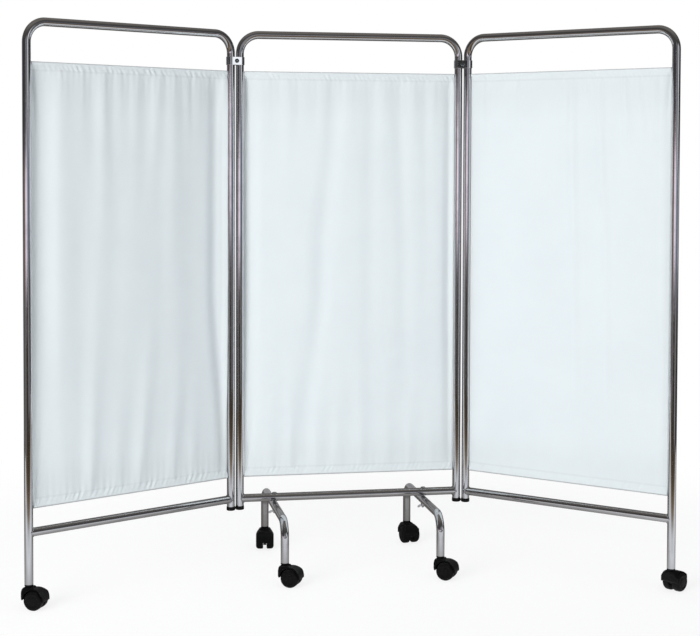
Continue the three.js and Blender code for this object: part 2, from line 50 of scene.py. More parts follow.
# Camera. It stands at chest height, left of the screen's middle, and looks across at the centre
# frame through a long lens. The lens is lowered on its mount, so the posts stay upright.
camera_place = (-0.8523, -4.6930, 1.287)
camera_yaw, camera_pitch, camera_roll = (math.radians(a) for a in (10.457, -2.144, 0.166))
ahead = Vector((
    math.sin(camera_yaw) * math.cos(camera_pitch),
    math.cos(camera_yaw) * math.cos(camera_pitch),
    math.sin(camera_pitch),
))
level = Vector((math.cos(camera_yaw), -math.sin(camera_yaw), 0))
upright = level.cross(ahead)
right = level * math.cos(camera_roll) + upright * math.sin(camera_roll)
up = upright * math.cos(camera_roll) - level * math.sin(camera_roll)
lens = bpy.data.cameras.new("camera")
lens.sensor_width = 36
lens.lens = 79.077
lens.shift_y = -0.14
camera = bpy.data.objects.new("camera", lens)
camera.matrix_world = Matrix.Translation(camera_place) @ Matrix((right, up, -ahead)).transposed().to_4x4()
scene.collection.objects.link(camera)
scene.camera = camera


# The studio: a pale floor that fades into a white backdrop, a room whose walls and lamps show in
# the chrome as dark and light bands, and three soft lights, two before the screen and one behind.
def connect(tree, node, inputs):
    """Gives each input a value, or a link where it gets another node's output."""
    for name, value in inputs.items():
        if isinstance(value, bpy.types.NodeSocket):
            tree.links.new(value, node.inputs[name])
        else:
            node.inputs[name].default_value = value


def add_node(tree, kind, inputs=None, **settings):
    node = tree.nodes.new(kind)
    for name, value in settings.items():
        setattr(node, name, value)
    connect(tree, node, inputs or {})
    return node


def maths(tree, operation, *values, clamp=False):
    node = add_node(tree, "ShaderNodeMath", dict(enumerate(values)), operation=operation, use_clamp=clamp)
    return node.outputs[0]


def between(tree, value, low, high, to_low=0.0, to_high=1.0):
    """A smooth step from one share to the other while the value goes from low to high."""
    inputs = {"Value": value, "From Min": low, "From Max": high, "To Min": to_low, "To Max": to_high}
    return add_node(tree, "ShaderNodeMapRange", inputs, interpolation_type="SMOOTHSTEP").outputs[0]


def blend_colours(tree, share, first, second):
    node = add_node(tree, "ShaderNodeMix", {0: share, 6: first, 7: second}, data_type="RGBA")
    return node.outputs[2]


def colour_ramp(tree, value, stops):
    """Each stop is its place and its red, green and blue, or one number for a grey."""
    ramp = add_node(tree, "ShaderNodeValToRGB", {0: value})
    elements = ramp.color_ramp.elements
    while len(elements) < len(stops):
        elements.new(0.5)
    for element, (place, *colour) in zip(elements, stops):
        element.position = place
        element.color = (*(colour * (3 // len(colour))), 1)
    return ramp.outputs[0]


def ray_kinds(tree):
    """Masks of what the camera sees, straight or through something clear, and of mirror images."""
    path = add_node(tree, "ShaderNodeLightPath").outputs
    seen = maths(tree, "MAXIMUM", path["Is Camera Ray"], path["Is Transmission Ray"])
    return seen, path["Is Glossy Ray"]


room = bpy.data.worlds.new("studio_room")
room.use_nodes = True
scene.world = room
tree = room.node_tree
tree.nodes.clear()
seen, mirrored = ray_kinds(tree)
towards = add_node(tree, "ShaderNodeSeparateXYZ",
                   {0: add_node(tree, "ShaderNodeTexCoord").outputs["Generated"]}).outputs
turn = maths(tree, "ARCTAN2", towards[0], maths(tree, "MULTIPLY", towards[1], -1.0))
turn_share = maths(tree, "MULTIPLY_ADD", turn, 0.5 / math.pi, 0.5)
# What stands round the screen at four heights, from under the far floor's edge up to above the
# viewer: degrees round from the viewer's side, and the colour there
walls = {
    "low": [
        (-180, 0.30), (-140, 0.28, 0.27, 0.26), (-118, 0.20, 0.17, 0.14), (-90, 0.10, 0.07, 0.04),
        (-55, 0.22, 0.16, 0.10), (-25, 0.30, 0.23, 0.16), (10, 0.30, 0.24, 0.18), (40, 0.42, 0.38, 0.34),
        (62, 0.18, 0.14, 0.12), (95, 0.05, 0.03, 0.02), (122, 0.10, 0.08, 0.07), (145, 0.26), (180, 0.30),
    ],
    "middle": [
        (-180, 0.36, 0.36, 0.37), (-142, 0.32, 0.32, 0.33), (-124, 0.20), (-104, 0.08),
        (-78, 0.16, 0.15, 0.14), (-50, 0.20, 0.19, 0.18), (-32, 0.09, 0.08, 0.08),
        (-12, 0.04, 0.035, 0.03), (12, 0.05, 0.045, 0.04), (22, 0.30, 0.29, 0.29), (31, 0.42, 0.41, 0.42),
        (41, 0.14, 0.13, 0.13), (60, 0.05, 0.045, 0.045), (100, 0.03, 0.025, 0.025),
        (124, 0.08, 0.08, 0.09), (146, 0.30, 0.30, 0.31), (180, 0.36, 0.36, 0.37),
    ],
    "level": [
        (-180, 0.42, 0.42, 0.43), (-142, 0.38, 0.38, 0.39), (-124, 0.26, 0.26, 0.27),
        (-102, 0.12, 0.10, 0.09), (-72, 0.22, 0.15, 0.14), (-54, 0.38, 0.27, 0.27),
        (-40, 1.10, 0.90, 0.98), (-22, 1.30, 1.18, 1.30), (-4, 1.00, 0.94, 1.06), (10, 0.55, 0.54, 0.62),
        (26, 0.20, 0.23, 0.30), (56, 0.16, 0.19, 0.24), (72, 0.62, 0.62, 0.68), (86, 0.60, 0.60, 0.66),
        (104, 0.12, 0.10, 0.11), (126, 0.14, 0.14, 0.16), (146, 0.38, 0.38, 0.39),
        (180, 0.42, 0.42, 0.43),
    ],
    "upper": [
        (-180, 0.40, 0.40, 0.41), (-142, 0.34, 0.34, 0.35), (-122, 0.16, 0.16, 0.17), (-96, 0.05),
        (-64, 0.05), (-44, 0.09, 0.09, 0.10), (-34, 0.03), (-24, 0.03), (-14, 0.34, 0.34, 0.36),
        (4, 0.30, 0.30, 0.32), (18, 0.07), (27, 0.20, 0.21, 0.22), (33, 1.15, 1.17, 1.20),
        (43, 1.10, 1.12, 1.16), (50, 0.12, 0.12, 0.13), (72, 0.03), (104, 0.03), (126, 0.12, 0.12, 0.13),
        (146, 0.34, 0.34, 0.35), (180, 0.40, 0.40, 0.41),
    ],
}
bands = {name: colour_ramp(tree, turn_share, [(0.5 + a / 360, *colour) for a, *colour in stops])
         for name, stops in walls.items()}
ring_of_walls = bands["low"]
for name, low, high in (("middle", -0.215, -0.165), ("level", -0.085, -0.035), ("upper", 0.005, 0.04)):
    ring_of_walls = blend_colours(tree, between(tree, towards[2], low, high), ring_of_walls, bands[name])
ceiling = colour_ramp(tree, towards[2], [
    (0.0, 0.08, 0.075, 0.07), (0.45, 0.08, 0.075, 0.07), (0.60, 0.10, 0.095, 0.09),
    (0.75, 0.15, 0.14, 0.13), (0.87, 0.21, 0.195, 0.18), (1.0, 0.19, 0.175, 0.16),
])
overhead = between(tree, towards[2], 0.16, 0.42)
behind = between(tree, towards[1], 0.45, 0.85)
upper_half = blend_colours(tree, maths(tree, "MULTIPLY", behind, 0.6), ceiling, (0.26, 0.25, 0.25, 1))
whole_room = blend_colours(tree, overhead, ring_of_walls, upper_half)
soft_light = (0.58, 0.585, 0.595, 1)
unseen = blend_colours(tree, mirrored, soft_light, whole_room)
colour = blend_colours(tree, seen, unseen, (1, 1, 1, 1))
background = add_node(tree, "ShaderNodeBackground", {"Color": colour, "Strength": 1.0})
add_node(tree, "ShaderNodeOutputWorld", {0: background.outputs[0]})


def soft_box(name, place, width, height, watts, colour):
    light = bpy.data.lights.new(name, "AREA")
    light.shape = "RECTANGLE"
    light.size = width
    light.size_y = height
    light.energy = watts
    light.color = colour
    lamp = bpy.data.objects.new(name, light)
    lamp.location = place
    lamp.rotation_euler = (screen_middle - Vector(place)).to_track_quat("-Z", "Y").to_euler()
    lamp.visible_glossy = False
    scene.collection.objects.link(lamp)


screen_middle = Vector((0, 0, 0.9))
soft_box("key_light", (-3.6, -3.8, 1.6), width=3.0, height=1.8, watts=152, colour=(1.0, 0.99, 0.97))
soft_box("fill_light", (3.0, -4.8, 2.2), width=1.8, height=1.8, watts=10, colour=(0.97, 0.985, 1.0))
soft_box("back_light", (0.8, 4.2, 2.6), width=2.4, height=1.8, watts=60, colour=(1.0, 1.0, 1.0))

floor_radius = 3.4
floor_level = -0.0004
floor_mesh = bpy.data.meshes.new("studio_floor")
rim = [(floor_radius * math.cos(a), floor_radius * math.sin(a), floor_level)
       for a in (math.radians(degrees) for degrees in range(0, 360, 5))]
floor_mesh.from_pydata(rim, [], [tuple(range(len(rim)))])
floor = bpy.data.objects.new("studio_floor", floor_mesh)
scene.collection.objects.link(floor)
paper = bpy.data.materials.new("white_paper")
paper.use_nodes = True
tree = paper.node_tree
tree.nodes.clear()
seen, mirrored = ray_kinds(tree)
spot = add_node(tree, "ShaderNodeTexCoord").outputs["Object"]
distance = add_node(tree, "ShaderNodeVectorMath", {0: spot}, operation="LENGTH").outputs["Value"]
fade = between(tree, distance, 1.0, 2.3, 0.80, 1.0)
paper_colour = add_node(tree, "ShaderNodeBsdfDiffuse", {"Color": (0.90, 0.905, 0.91, 1), "Roughness": 0.6})
glow = add_node(tree, "ShaderNodeEmission", {"Color": (1, 1, 1, 1), "Strength": 1.0})
in_front = add_node(tree, "ShaderNodeSeparateXYZ", {0: spot}).outputs[1]
# Painted reflection: in the chrome the floor shows as a glow, dark far in front, bright a little in front
# of the screen and darker under and behind it, standing in for lit and shaded floor
mirrored_floor_glow = colour_ramp(tree, between(tree, in_front, -3.0, 1.0), [
    (0.0, 0.06, 0.045, 0.03), (0.20, 0.12, 0.09, 0.06), (0.36, 0.30, 0.23, 0.16),
    (0.48, 0.76, 0.78, 0.82), (0.60, 0.92, 0.94, 0.98), (0.70, 0.66, 0.66, 0.67),
    (0.79, 0.44, 0.43, 0.425), (0.87, 0.30, 0.29, 0.28), (0.93, 0.19, 0.18, 0.175),
    (1.0, 0.14, 0.13, 0.12),
])
mirror_image = add_node(tree, "ShaderNodeEmission", {"Color": mirrored_floor_glow, "Strength": 1.0})
in_mirror = add_node(
    tree, "ShaderNodeMixShader", {0: mirrored, 1: paper_colour.outputs[0], 2: mirror_image.outputs[0]})
seen_share = maths(tree, "MULTIPLY", fade, seen)
mixed = add_node(tree, "ShaderNodeMixShader", {0: seen_share, 1: in_mirror.outputs[0], 2: glow.outputs[0]})
add_node(tree, "ShaderNodeOutputMaterial", {0: mixed.outputs[0]})
floor_mesh.materials.append(paper)


# Frame tubes. Each frame is one chrome plated steel tube, bent up one post, across the top and
# down the other post. The tubes are open at their feet, where a plug or a wheel stem goes in.
MM = 0.001
tube_radius = 12.7
tube_bore = 11.5
frame_width = 708
rail_height = 1687
rail_bend = 60
inner_foot = 197
outer_foot = 71
post_spacing = 30
fit_gap = 0.3
left_angle = 29
right_angle = 44
round_sides = 48
bend_steps = 18

low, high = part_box("frame_tube_centre")
middle_x = (low[0] + high[0]) / 2 / MM
middle_y = (low[1] + high[1]) / 2 / MM


def placed(x, y, z=0.0, degrees=0.0):
    """A place in millimetres, with a turn about the upright."""
    return Matrix.Translation(Vector((x, y, z)) * MM) @ Matrix.Rotation(math.radians(degrees), 4, "Z")


left_post = middle_x - frame_width / 2
right_post = middle_x + frame_width / 2
# Each hinge turns on the centre frame's post and each side frame on its hinge, by half the angle
hinge_places = {
    "left": placed(left_post, middle_y, 0, 180 + left_angle / 2),
    "right": placed(right_post, middle_y, 0, -right_angle / 2),
}
frame_places = {
    "left": hinge_places["left"] @ placed(post_spacing, 0, 0, left_angle / 2),
    "centre": placed(left_post, middle_y),
    "right": hinge_places["right"] @ placed(post_spacing, 0, 0, -right_angle / 2),
}


def loft(rings, around=True, along=False, caps=False, stations=None):
    """Faces between rings of points, with map coordinates in millimetres. Each ring closes when
    around is set, the last ring meets the first when along is set, and caps close the two ends."""
    rings = np.asarray(rings, float)
    count, size = rings.shape[:2]
    next_ring = np.roll(rings, -1, axis=0) if along else rings[1:]
    ring_steps = np.linalg.norm(next_ring - rings[:len(next_ring)], axis=2).mean(axis=1)
    side_steps = np.linalg.norm(np.roll(rings, -1, axis=1) - rings, axis=2).mean(axis=0)
    v = np.concatenate([[0], np.cumsum(ring_steps)]) if stations is None else stations
    u = np.concatenate([[0], np.cumsum(side_steps)])
    faces, places = [], []
    for i in range(count if along else count - 1):
        for k in range(size if around else size - 1):
            n, m = (i + 1) % count, (k + 1) % size
            faces.append((i * size + k, i * size + m, n * size + m, n * size + k))
            places += [(u[k], v[i]), (u[k + 1], v[i]), (u[k + 1], v[i + 1]), (u[k], v[i + 1])]
    if caps:
        for ring, start in ((rings[0], 0), (rings[-1], (count - 1) * size)):
            axes = np.argsort(np.ptp(ring, axis=0))[1:]
            faces.append(tuple(range(start, start + size)))
            places += [tuple(p) for p in ring[:, axes]]
    return rings.reshape(-1, 3), faces, places


def circle(centre, across, upward, radius, sides=round_sides):
    angles = np.arange(sides) * 2 * math.pi / sides
    return np.asarray(centre) + radius * (
        np.outer(np.cos(angles), across) + np.outer(np.sin(angles), upward))


def arch_stations(width, top, bend, start_foot, end_foot):
    """Points, and the way out of the bend at each, along an arch in the XZ plane."""
    stations = [((0, 0, start_foot), (-1, 0, 0))]
    for centre_x, start in ((bend, 180), (width - bend, 90)):
        for i in range(bend_steps + 1):
            a = math.radians(start - 90 * i / bend_steps)
            out = (math.cos(a), 0, math.sin(a))
            stations.append(((centre_x + bend * out[0], 0, top - bend + bend * out[2]), out))
    stations.append(((width, 0, end_foot), (1, 0, 0)))
    return stations


def hollow_arch(stations, outer, bore):
    outside = [circle(point, out, (0, 1, 0), outer) for point, out in stations]
    inside = [circle(point, out, (0, 1, 0), bore) for point, out in reversed(stations)]
    return loft(outside + inside, along=True)


def smooth_mesh(mesh, crease):
    mesh.polygons.foreach_set("use_smooth", [True] * len(mesh.polygons))
    mesh.set_sharp_from_angle(angle=math.radians(crease))


def add_mesh(name, shapes, material, crease=32):
    points, faces, places = [], [], []
    for shape_points, shape_faces, shape_places in shapes:
        start = len(points)
        points += [tuple(p) for p in np.asarray(shape_points) * MM]
        faces += [tuple(i + start for i in face) for face in shape_faces]
        places += shape_places
    mesh = bpy.data.meshes.new(name)
    mesh.from_pydata(points, [], faces)
    layer = mesh.uv_layers.new(name="surface")
    layer.data.foreach_set("uv", (np.asarray(places, dtype=np.float32) * MM).ravel())
    mesh.materials.append(material)
    work = bmesh.new()
    work.from_mesh(mesh)
    bmesh.ops.recalc_face_normals(work, faces=work.faces)
    work.to_mesh(mesh)
    work.free()
    smooth_mesh(mesh, crease)
    return mesh


def add_piece(name, form, material, place, body, stands_for=(), crease=32):
    """A piece on its body, from a mesh or from shapes, in place of the solids that it stands for."""
    mesh = form if isinstance(form, bpy.types.Mesh) else add_mesh(name, form, material, crease)
    piece = bpy.data.objects.new(name, mesh)
    piece.matrix_world = place
    scene.collection.objects.link(piece)
    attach(piece, body)
    if stands_for:
        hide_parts(*stands_for)
    return piece


def new_group(name, numbers, results):
    """A node group that takes a vector in metres and some numbers, and gives the named results."""
    group = bpy.data.node_groups.new(name, "ShaderNodeTree")
    group.interface.new_socket("Vector", in_out="INPUT", socket_type="NodeSocketVector")
    for label, value in numbers.items():
        socket = group.interface.new_socket(label, in_out="INPUT", socket_type="NodeSocketFloat")
        socket.default_value = value
    for label in results:
        group.interface.new_socket(label, in_out="OUTPUT", socket_type="NodeSocketFloat")
    return group, group.nodes.new("NodeGroupInput").outputs, group.nodes.new("NodeGroupOutput")


def noise(tree, vector, scale, detail=2.0, roughness=0.5):
    inputs = {"Vector": vector, "Scale": scale, "Detail": detail, "Roughness": roughness}
    return add_node(tree, "ShaderNodeTexNoise", inputs).outputs["Fac"]


def stretched(tree, vector, scale):
    inputs = {"Vector": vector, "Scale": scale}
    return add_node(tree, "ShaderNodeMapping", inputs).outputs["Vector"]


def plating_group():
    """Polishing lines along a tube, which is the map's Y, with hand marks and small pits."""
    group, given, result = new_group(
        "plated_surface", {"Haze": 0.5, "Polish Lines": 0.5, "Base Roughness": 0.06},
        ["Marks", "Roughness", "Height"])
    lines = noise(group, stretched(group, given["Vector"], (1, 0.015, 1)), 1400.0, 3.0, 0.6)
    hands = between(group, noise(group, given["Vector"], 14.0, 4.0, 0.6), 0.42, 0.72)
    pits = between(group, noise(group, given["Vector"], 420.0, 1.0), 0.70, 0.78)
    haze = maths(group, "MULTIPLY", hands, given["Haze"])
    scratch = maths(group, "MULTIPLY", lines, given["Polish Lines"])
    marks = maths(group, "MULTIPLY_ADD", pits, 0.5, haze, clamp=True)
    rough = maths(group, "MULTIPLY_ADD", haze, 0.10, given["Base Roughness"])
    rough = maths(group, "MULTIPLY_ADD", scratch, 0.05, rough)
    rough = maths(group, "MULTIPLY_ADD", pits, 0.25, rough, clamp=True)
    height = maths(group, "MULTIPLY_ADD", pits, -0.6, scratch)
    connect(group, result, {"Marks": marks, "Roughness": rough, "Height": height})
    return group


plated_surface = plating_group()


def new_material(name):
    material = bpy.data.materials.new(name)
    material.use_nodes = True
    tree = material.node_tree
    tree.nodes.clear()
    surface = add_node(tree, "ShaderNodeBsdfPrincipled")
    add_node(tree, "ShaderNodeOutputMaterial", {0: surface.outputs[0]})
    return material, tree, surface


def relief(tree, height, strength, distance):
    inputs = {"Height": height, "Strength": strength, "Distance": distance}
    return add_node(tree, "ShaderNodeBump", inputs).outputs[0]


def plated_metal(name, bright, dull, haze, polish, roughness, bump):
    material, tree, surface = new_material(name)
    vector = add_node(tree, "ShaderNodeUVMap", uv_map="surface").outputs[0]
    inputs = {"Vector": vector, "Haze": haze, "Polish Lines": polish, "Base Roughness": roughness}
    plate = add_node(tree, "ShaderNodeGroup", inputs, node_tree=plated_surface).outputs
    connect(tree, surface, {
        "Base Color": blend_colours(tree, plate["Marks"], (*bright, 1), (*dull, 1)),
        "Roughness": plate["Roughness"],
        "Normal": relief(tree, plate["Height"], bump, 0.00005),
        "Metallic": 1.0,
    })
    return material


tube_chrome = plated_metal(
    "tube_chrome", bright=(0.61, 0.615, 0.63), dull=(0.50, 0.50, 0.51),
    haze=0.5, polish=0.5, roughness=0.06, bump=0.25)
end_feet = {"left": outer_foot, "centre": inner_foot, "right": outer_foot}
for side, place in frame_places.items():
    stations = arch_stations(frame_width, rail_height, rail_bend, inner_foot, end_feet[side])
    add_piece(f"frame_tube_{side}_round", [hollow_arch(stations, tube_radius, tube_bore)], tube_chrome,
              place, f"{side}_frame", [f"frame_tube_{side}"])


# Crossbars. A straight length of the same tube across the foot of each frame, its ends hollowed to
# fit the posts and welded all round, then plated together with the frame.
crossbar_height = 220
bead_radius = 1.9
bead_offset = 0.4
bead_lean = -0.45
bead_ripples = 26
bead_steps = 144
bead_sides = 12


def coped_bar(radius, bite=0.2, steps=8):
    """Rings of a bar whose ends are hollowed to fit round the posts and bite into them a little."""
    angles = np.arange(round_sides) * 2 * math.pi / round_sides
    y, z = radius * np.cos(angles), radius * np.sin(angles)
    cope = np.sqrt(np.maximum(tube_radius**2 - y**2, 0)) - bite
    return [np.stack([cope + (frame_width - 2 * cope) * i / steps, y, z], axis=1) for i in range(steps + 1)]


def weld_bead(way):
    """The bead where a crossbar meets its post, as a closed rope round the joint."""
    a = np.arange(bead_steps) * 2 * math.pi / bead_steps
    # the small number keeps the rope round at the post's sides, where the two tubes run together
    reach = tube_radius * np.sqrt(np.sin(a)**2 + 0.035) + bead_offset
    line = np.stack([reach, tube_radius * np.cos(a), tube_radius * np.sin(a)], axis=1)
    ahead = np.roll(line, -1, axis=0) - np.roll(line, 1, axis=0)
    ahead /= np.linalg.norm(ahead, axis=1)[:, None]
    out = np.stack([np.full(bead_steps, bead_lean), np.cos(a), np.sin(a)], axis=1)
    out -= ahead * np.sum(out * ahead, axis=1)[:, None]
    out /= np.linalg.norm(out, axis=1)[:, None]
    across = np.cross(ahead, out)
    rings = []
    for i in range(bead_steps):
        swell = bead_radius * (1 + 0.07 * math.sin(bead_ripples * a[i]) + 0.05 * math.sin(7 * a[i] + 1))
        rings.append(circle(line[i], out[i], across[i], swell, bead_sides))
    rings = np.asarray(rings)
    if way < 0:
        rings[:, :, 0] = frame_width - rings[:, :, 0]
    return loft(rings, along=True)


for side, place in frame_places.items():
    bar = loft(coped_bar(tube_radius) + coped_bar(tube_bore)[::-1], along=True)
    add_piece(f"crossbar_{side}_welded", [bar, weld_bead(1), weld_bead(-1)], tube_chrome,
              place @ placed(0, 0, crossbar_height), f"{side}_frame", [f"crossbar_{side}"])

# Bow legs. Two bent tubes that stand square across the centre frame and pass under its crossbar,
# one bolt through each. Same chrome as the frames, a little more handled.
leg_offset = 243
leg_reach = 240
leg_bend = 50
leg_height = crossbar_height - 2 * tube_radius - fit_gap
leg_chrome = plated_metal(
    "leg_chrome", bright=(0.61, 0.615, 0.63), dull=(0.46, 0.46, 0.47),
    haze=0.75, polish=0.6, roughness=0.08, bump=0.3)
leg_places = {
    "left": placed(middle_x - leg_offset, middle_y),
    "right": placed(middle_x + leg_offset, middle_y),
}
leg_stations = arch_stations(2 * leg_reach, leg_height, leg_bend, outer_foot, outer_foot)
for side, place in leg_places.items():
    add_piece(f"bow_leg_{side}_round", [hollow_arch(leg_stations, tube_radius, tube_bore)], leg_chrome,
              place @ placed(0, -leg_reach, 0, 90), "centre_frame", [f"bow_leg_{side}"])


# Leg bolts and wing nuts. A domed zinc plated bolt goes down through the crossbar and the leg, and
# a pressed wing nut under the leg draws them together, so the legs come off by hand.
def turned(profile, sides=round_sides):
    """A body turned round Z from (radius, height) pairs; a zero radius closes an end."""
    rings = [circle((0, 0, z), (1, 0, 0), (0, 1, 0), max(r, 0.01), sides) for r, z in profile]
    return loft(rings, caps=True)


thread_depth = 0.45


def thread(radius, foot, top, pitch):
    """(radius, height) pairs of a cut thread, foot to top."""
    pairs, z = [], foot
    while z < top:
        pairs += [(radius - thread_depth, z), (radius, z + pitch / 2)]
        z += pitch
    return pairs


bolt_radius = 4
bolt_pitch = 1.25
bolt_tail = 4
bolt_head_radius = 7.6
bolt_head_rim = 0.9
bolt_head_dome = 2.3
wing_radius = 7
wing_hub_height = 9
wing_length = 13
wing_half_thickness = 1.1
wing_turn = 18
bolt_seat = crossbar_height + tube_radius + fit_gap
nut_top = leg_height - tube_radius - fit_gap
bolt_foot = nut_top - wing_hub_height - bolt_tail
zinc_plate = plated_metal(
    "zinc_plate", bright=(0.74, 0.75, 0.77), dull=(0.50, 0.50, 0.50),
    haze=0.8, polish=0.3, roughness=0.30, bump=0.5)


def leg_bolt_shape():
    shank = [(0, bolt_foot), (bolt_radius - 1.1, bolt_foot), (bolt_radius - 0.5, bolt_foot + 0.7)]
    shank += thread(bolt_radius, bolt_foot + 0.9, nut_top - 0.2, bolt_pitch)
    dome = [(bolt_head_radius * math.cos(a), bolt_seat + bolt_head_rim + bolt_head_dome * math.sin(a))
            for a in np.radians(np.arange(0, 91, 10))]
    head = [(bolt_radius, nut_top), (bolt_radius, bolt_seat), (bolt_head_radius - 0.4, bolt_seat),
            (bolt_head_radius, bolt_seat + 0.4)]
    return turned(shank + head + dome, 32)


def prism(outline, low, high, axis="Y"):
    """A flat outline drawn out along one axis; it lies in the plane of the other two, in their order."""
    spot, flat = "XYZ".index(axis), np.asarray(outline, float)
    return loft([np.insert(flat, spot, end, axis=1) for end in (low, high)], caps=True)


def rounded(corners, radius, steps=5):
    """The outline with its corners cut to short arcs."""
    points = []
    count = len(corners)
    for i, corner in enumerate(corners):
        here = Vector(corner)
        before = (Vector(corners[i - 1]) - here)
        after = (Vector(corners[(i + 1) % count]) - here)
        reach = min(radius, before.length * 0.45, after.length * 0.45)
        start, end = here + before.normalized() * reach, here + after.normalized() * reach
        for k in range(steps + 1):
            t = k / steps
            points.append(tuple(start * (1 - t)**2 + here * 2 * t * (1 - t) + end * t * t))
    return points


def add_modifier(piece, name, kind, **settings):
    modifier = piece.modifiers.new(name, kind)
    for label, value in settings.items():
        setattr(modifier, label, value)


def soften(piece, width):
    add_modifier(piece, "rounded_edges", "BEVEL", width=width * MM, segments=2,
                 limit_method="ANGLE", angle_limit=math.radians(50))


def wing_shape(way):
    tip = wing_radius + wing_length
    corners = [(3, 7.5), (wing_radius, 8.5), (wing_radius + 8, 12), (tip, 11.5), (tip, 5.5),
               (wing_radius + 6, 2.6), (3, 2.2)]
    outline = rounded([(way * out, nut_top - down) for out, down in corners], 3.0)
    return prism(outline, -wing_half_thickness, wing_half_thickness)


for side, place in leg_places.items():
    add_piece(f"leg_bolt_{side}_domed", [leg_bolt_shape()], zinc_plate,
              place, "centre_frame", [f"leg_bolt_{side}"])
    hub_profile = [(4.3, 9), (5.4, 9), (5.9, 8.5), (wing_radius - 0.3, 1.6), (wing_radius, 1),
                   (wing_radius, 0), (4.3, 0)]
    hub = turned([(radius, nut_top - down) for radius, down in hub_profile], 36)
    nut = add_piece(f"wing_nut_{side}_pressed", [hub, wing_shape(1), wing_shape(-1)], zinc_plate,
                    place @ placed(0, 0, 0, wing_turn), "centre_frame", [f"wing_nut_{side}"])
    soften(nut, 0.5)

# Hinge clamps. High on each pair of posts a strap of plated steel in two pressed halves grips both
# posts loosely, so that either post turns in it. One bolt between the posts holds the halves.
clamp_level = 1604
clamp_height = 25
clamp_thickness = 1.8
clamp_play = 0.4
clamp_inner = tube_radius + clamp_play
clamp_outer = clamp_inner + clamp_thickness
clamp_half_split = 0.6
clamp_chrome = plated_metal(
    "clamp_chrome", bright=(0.80, 0.81, 0.83), dull=(0.60, 0.60, 0.62),
    haze=0.3, polish=0.2, roughness=0.05, bump=0.2)
# Painted shade: the hinge bolt's metal gets a dark colour that stands in for the dark room its dome
# reflects
bolt_painted_dark = plated_metal(
    "bolt_painted_dark", bright=(0.26, 0.30, 0.32), dull=(0.16, 0.17, 0.18),
    haze=0.6, polish=0.2, roughness=0.20, bump=0.4)


def clamp_arc(centre, radius, start, end, steps=14):
    angles = np.linspace(start, end, steps + 1)
    return [(centre + radius * math.cos(a), radius * math.sin(a)) for a in angles]


def clamp_half_shape(way):
    outer_tilt, inner_tilt = (math.asin(clamp_half_split / radius) for radius in (clamp_outer, clamp_inner))
    quarter = math.pi / 2
    outline = [
        *clamp_arc(post_spacing, clamp_outer, outer_tilt, quarter),
        *clamp_arc(0, clamp_outer, quarter, math.pi - outer_tilt),
        *clamp_arc(0, clamp_inner, math.pi - inner_tilt, quarter),
        *clamp_arc(post_spacing, clamp_inner, quarter, inner_tilt),
    ]
    if way < 0:
        outline = [(post_spacing - x, -y) for x, y in outline]
    return prism(outline, clamp_level - clamp_height / 2, clamp_level + clamp_height / 2, "Z")


def tipped(degrees):
    """A turn about X, which lays an upright piece down."""
    return Matrix.Rotation(math.radians(degrees), 4, "X")


def hinge_bolt_shapes():
    """The bolt along Z: a flanged socket head at its low end, a washer, nut and thread at the other."""
    seat = clamp_outer + 0.15
    dome = [(6.1 * math.cos(a), -1.2 - 2.6 * math.sin(a)) for a in np.radians(np.arange(60, -1, -12))]
    head = [(0, -1.9), (1.9, -1.9), (2.3, -3.2), *dome, (6.8, -1.15), (7.0, -0.9), (7.0, -0.2), (6.8, 0)]
    shank = [(2, -seat), (2, seat), *thread(2, seat, seat + 5.2, 0.7), (1.4, seat + 5.7), (0, seat + 5.7)]
    washer = [(2.1, 0), (6.4, 0), (6.4, 0.9), (2.1, 0.9)]
    nut = [(4.3, 0.9), (5.0, 1.25), (5.0, 3.55), (4.3, 3.9)]
    return [turned([(r, z - seat) for r, z in head] + shank, 32),
            turned([(r, z + seat) for r, z in washer], 36), turned([(r, z + seat) for r, z in nut], 6)]


for side, place in hinge_places.items():
    front = 1 if side == "left" else -1
    for face, way in (("front", front), ("rear", -front)):
        half = add_piece(f"hinge_clamp_{face}_{side}_pressed", [clamp_half_shape(way)], clamp_chrome,
                         place, f"{side}_hinge", [f"hinge_clamp_{face}_{side}"])
        soften(half, 0.45)
    add_piece(f"hinge_bolt_{side}_headed", hinge_bolt_shapes(), bolt_painted_dark,
              place @ placed(post_spacing / 2, 0, clamp_level) @ tipped(90 * front),
              f"{side}_hinge", [f"hinge_bolt_{side}"])


# Post links. Under each pair of inner posts a black nylon moulding closes both tubes: a flanged
# plug in each, joined by a short web, on which the posts turn.
def moulding_group():
    """Fine grain, flow marks and rubbed places of moulded nylon."""
    group, given, result = new_group(
        "moulded_surface", {"Grain": 0.5, "Dust": 0.3, "Base Roughness": 0.45},
        ["Dusty", "Roughness", "Height"])
    grain = noise(group, given["Vector"], 2600.0, 2.0, 0.6)
    flow = noise(group, stretched(group, given["Vector"], (1, 1, 0.3)), 60.0, 3.0, 0.55)
    rubbed = between(group, noise(group, given["Vector"], 130.0, 4.0, 0.65), 0.52, 0.75)
    dusty = maths(group, "MULTIPLY", rubbed, given["Dust"], clamp=True)
    rough = maths(group, "MULTIPLY_ADD", flow, 0.10, given["Base Roughness"])
    rough = maths(group, "MULTIPLY_ADD", dusty, 0.25, rough, clamp=True)
    height = maths(group, "MULTIPLY", grain, given["Grain"])
    connect(group, result, {"Dusty": dusty, "Roughness": rough, "Height": height})
    return group


moulded_surface = moulding_group()


def moulded_nylon(name, colour, dust_colour, grain, dust, roughness):
    material, tree, surface = new_material(name)
    vector = add_node(tree, "ShaderNodeTexCoord").outputs["Object"]
    inputs = {"Vector": vector, "Grain": grain, "Dust": dust, "Base Roughness": roughness}
    skin = add_node(tree, "ShaderNodeGroup", inputs, node_tree=moulded_surface).outputs
    connect(tree, surface, {
        "Base Color": blend_colours(tree, skin["Dusty"], (*colour, 1), (*dust_colour, 1)),
        "Roughness": skin["Roughness"],
        "Normal": relief(tree, skin["Height"], 0.4, 0.0001),
        "Specular IOR Level": 0.2,
    })
    return material


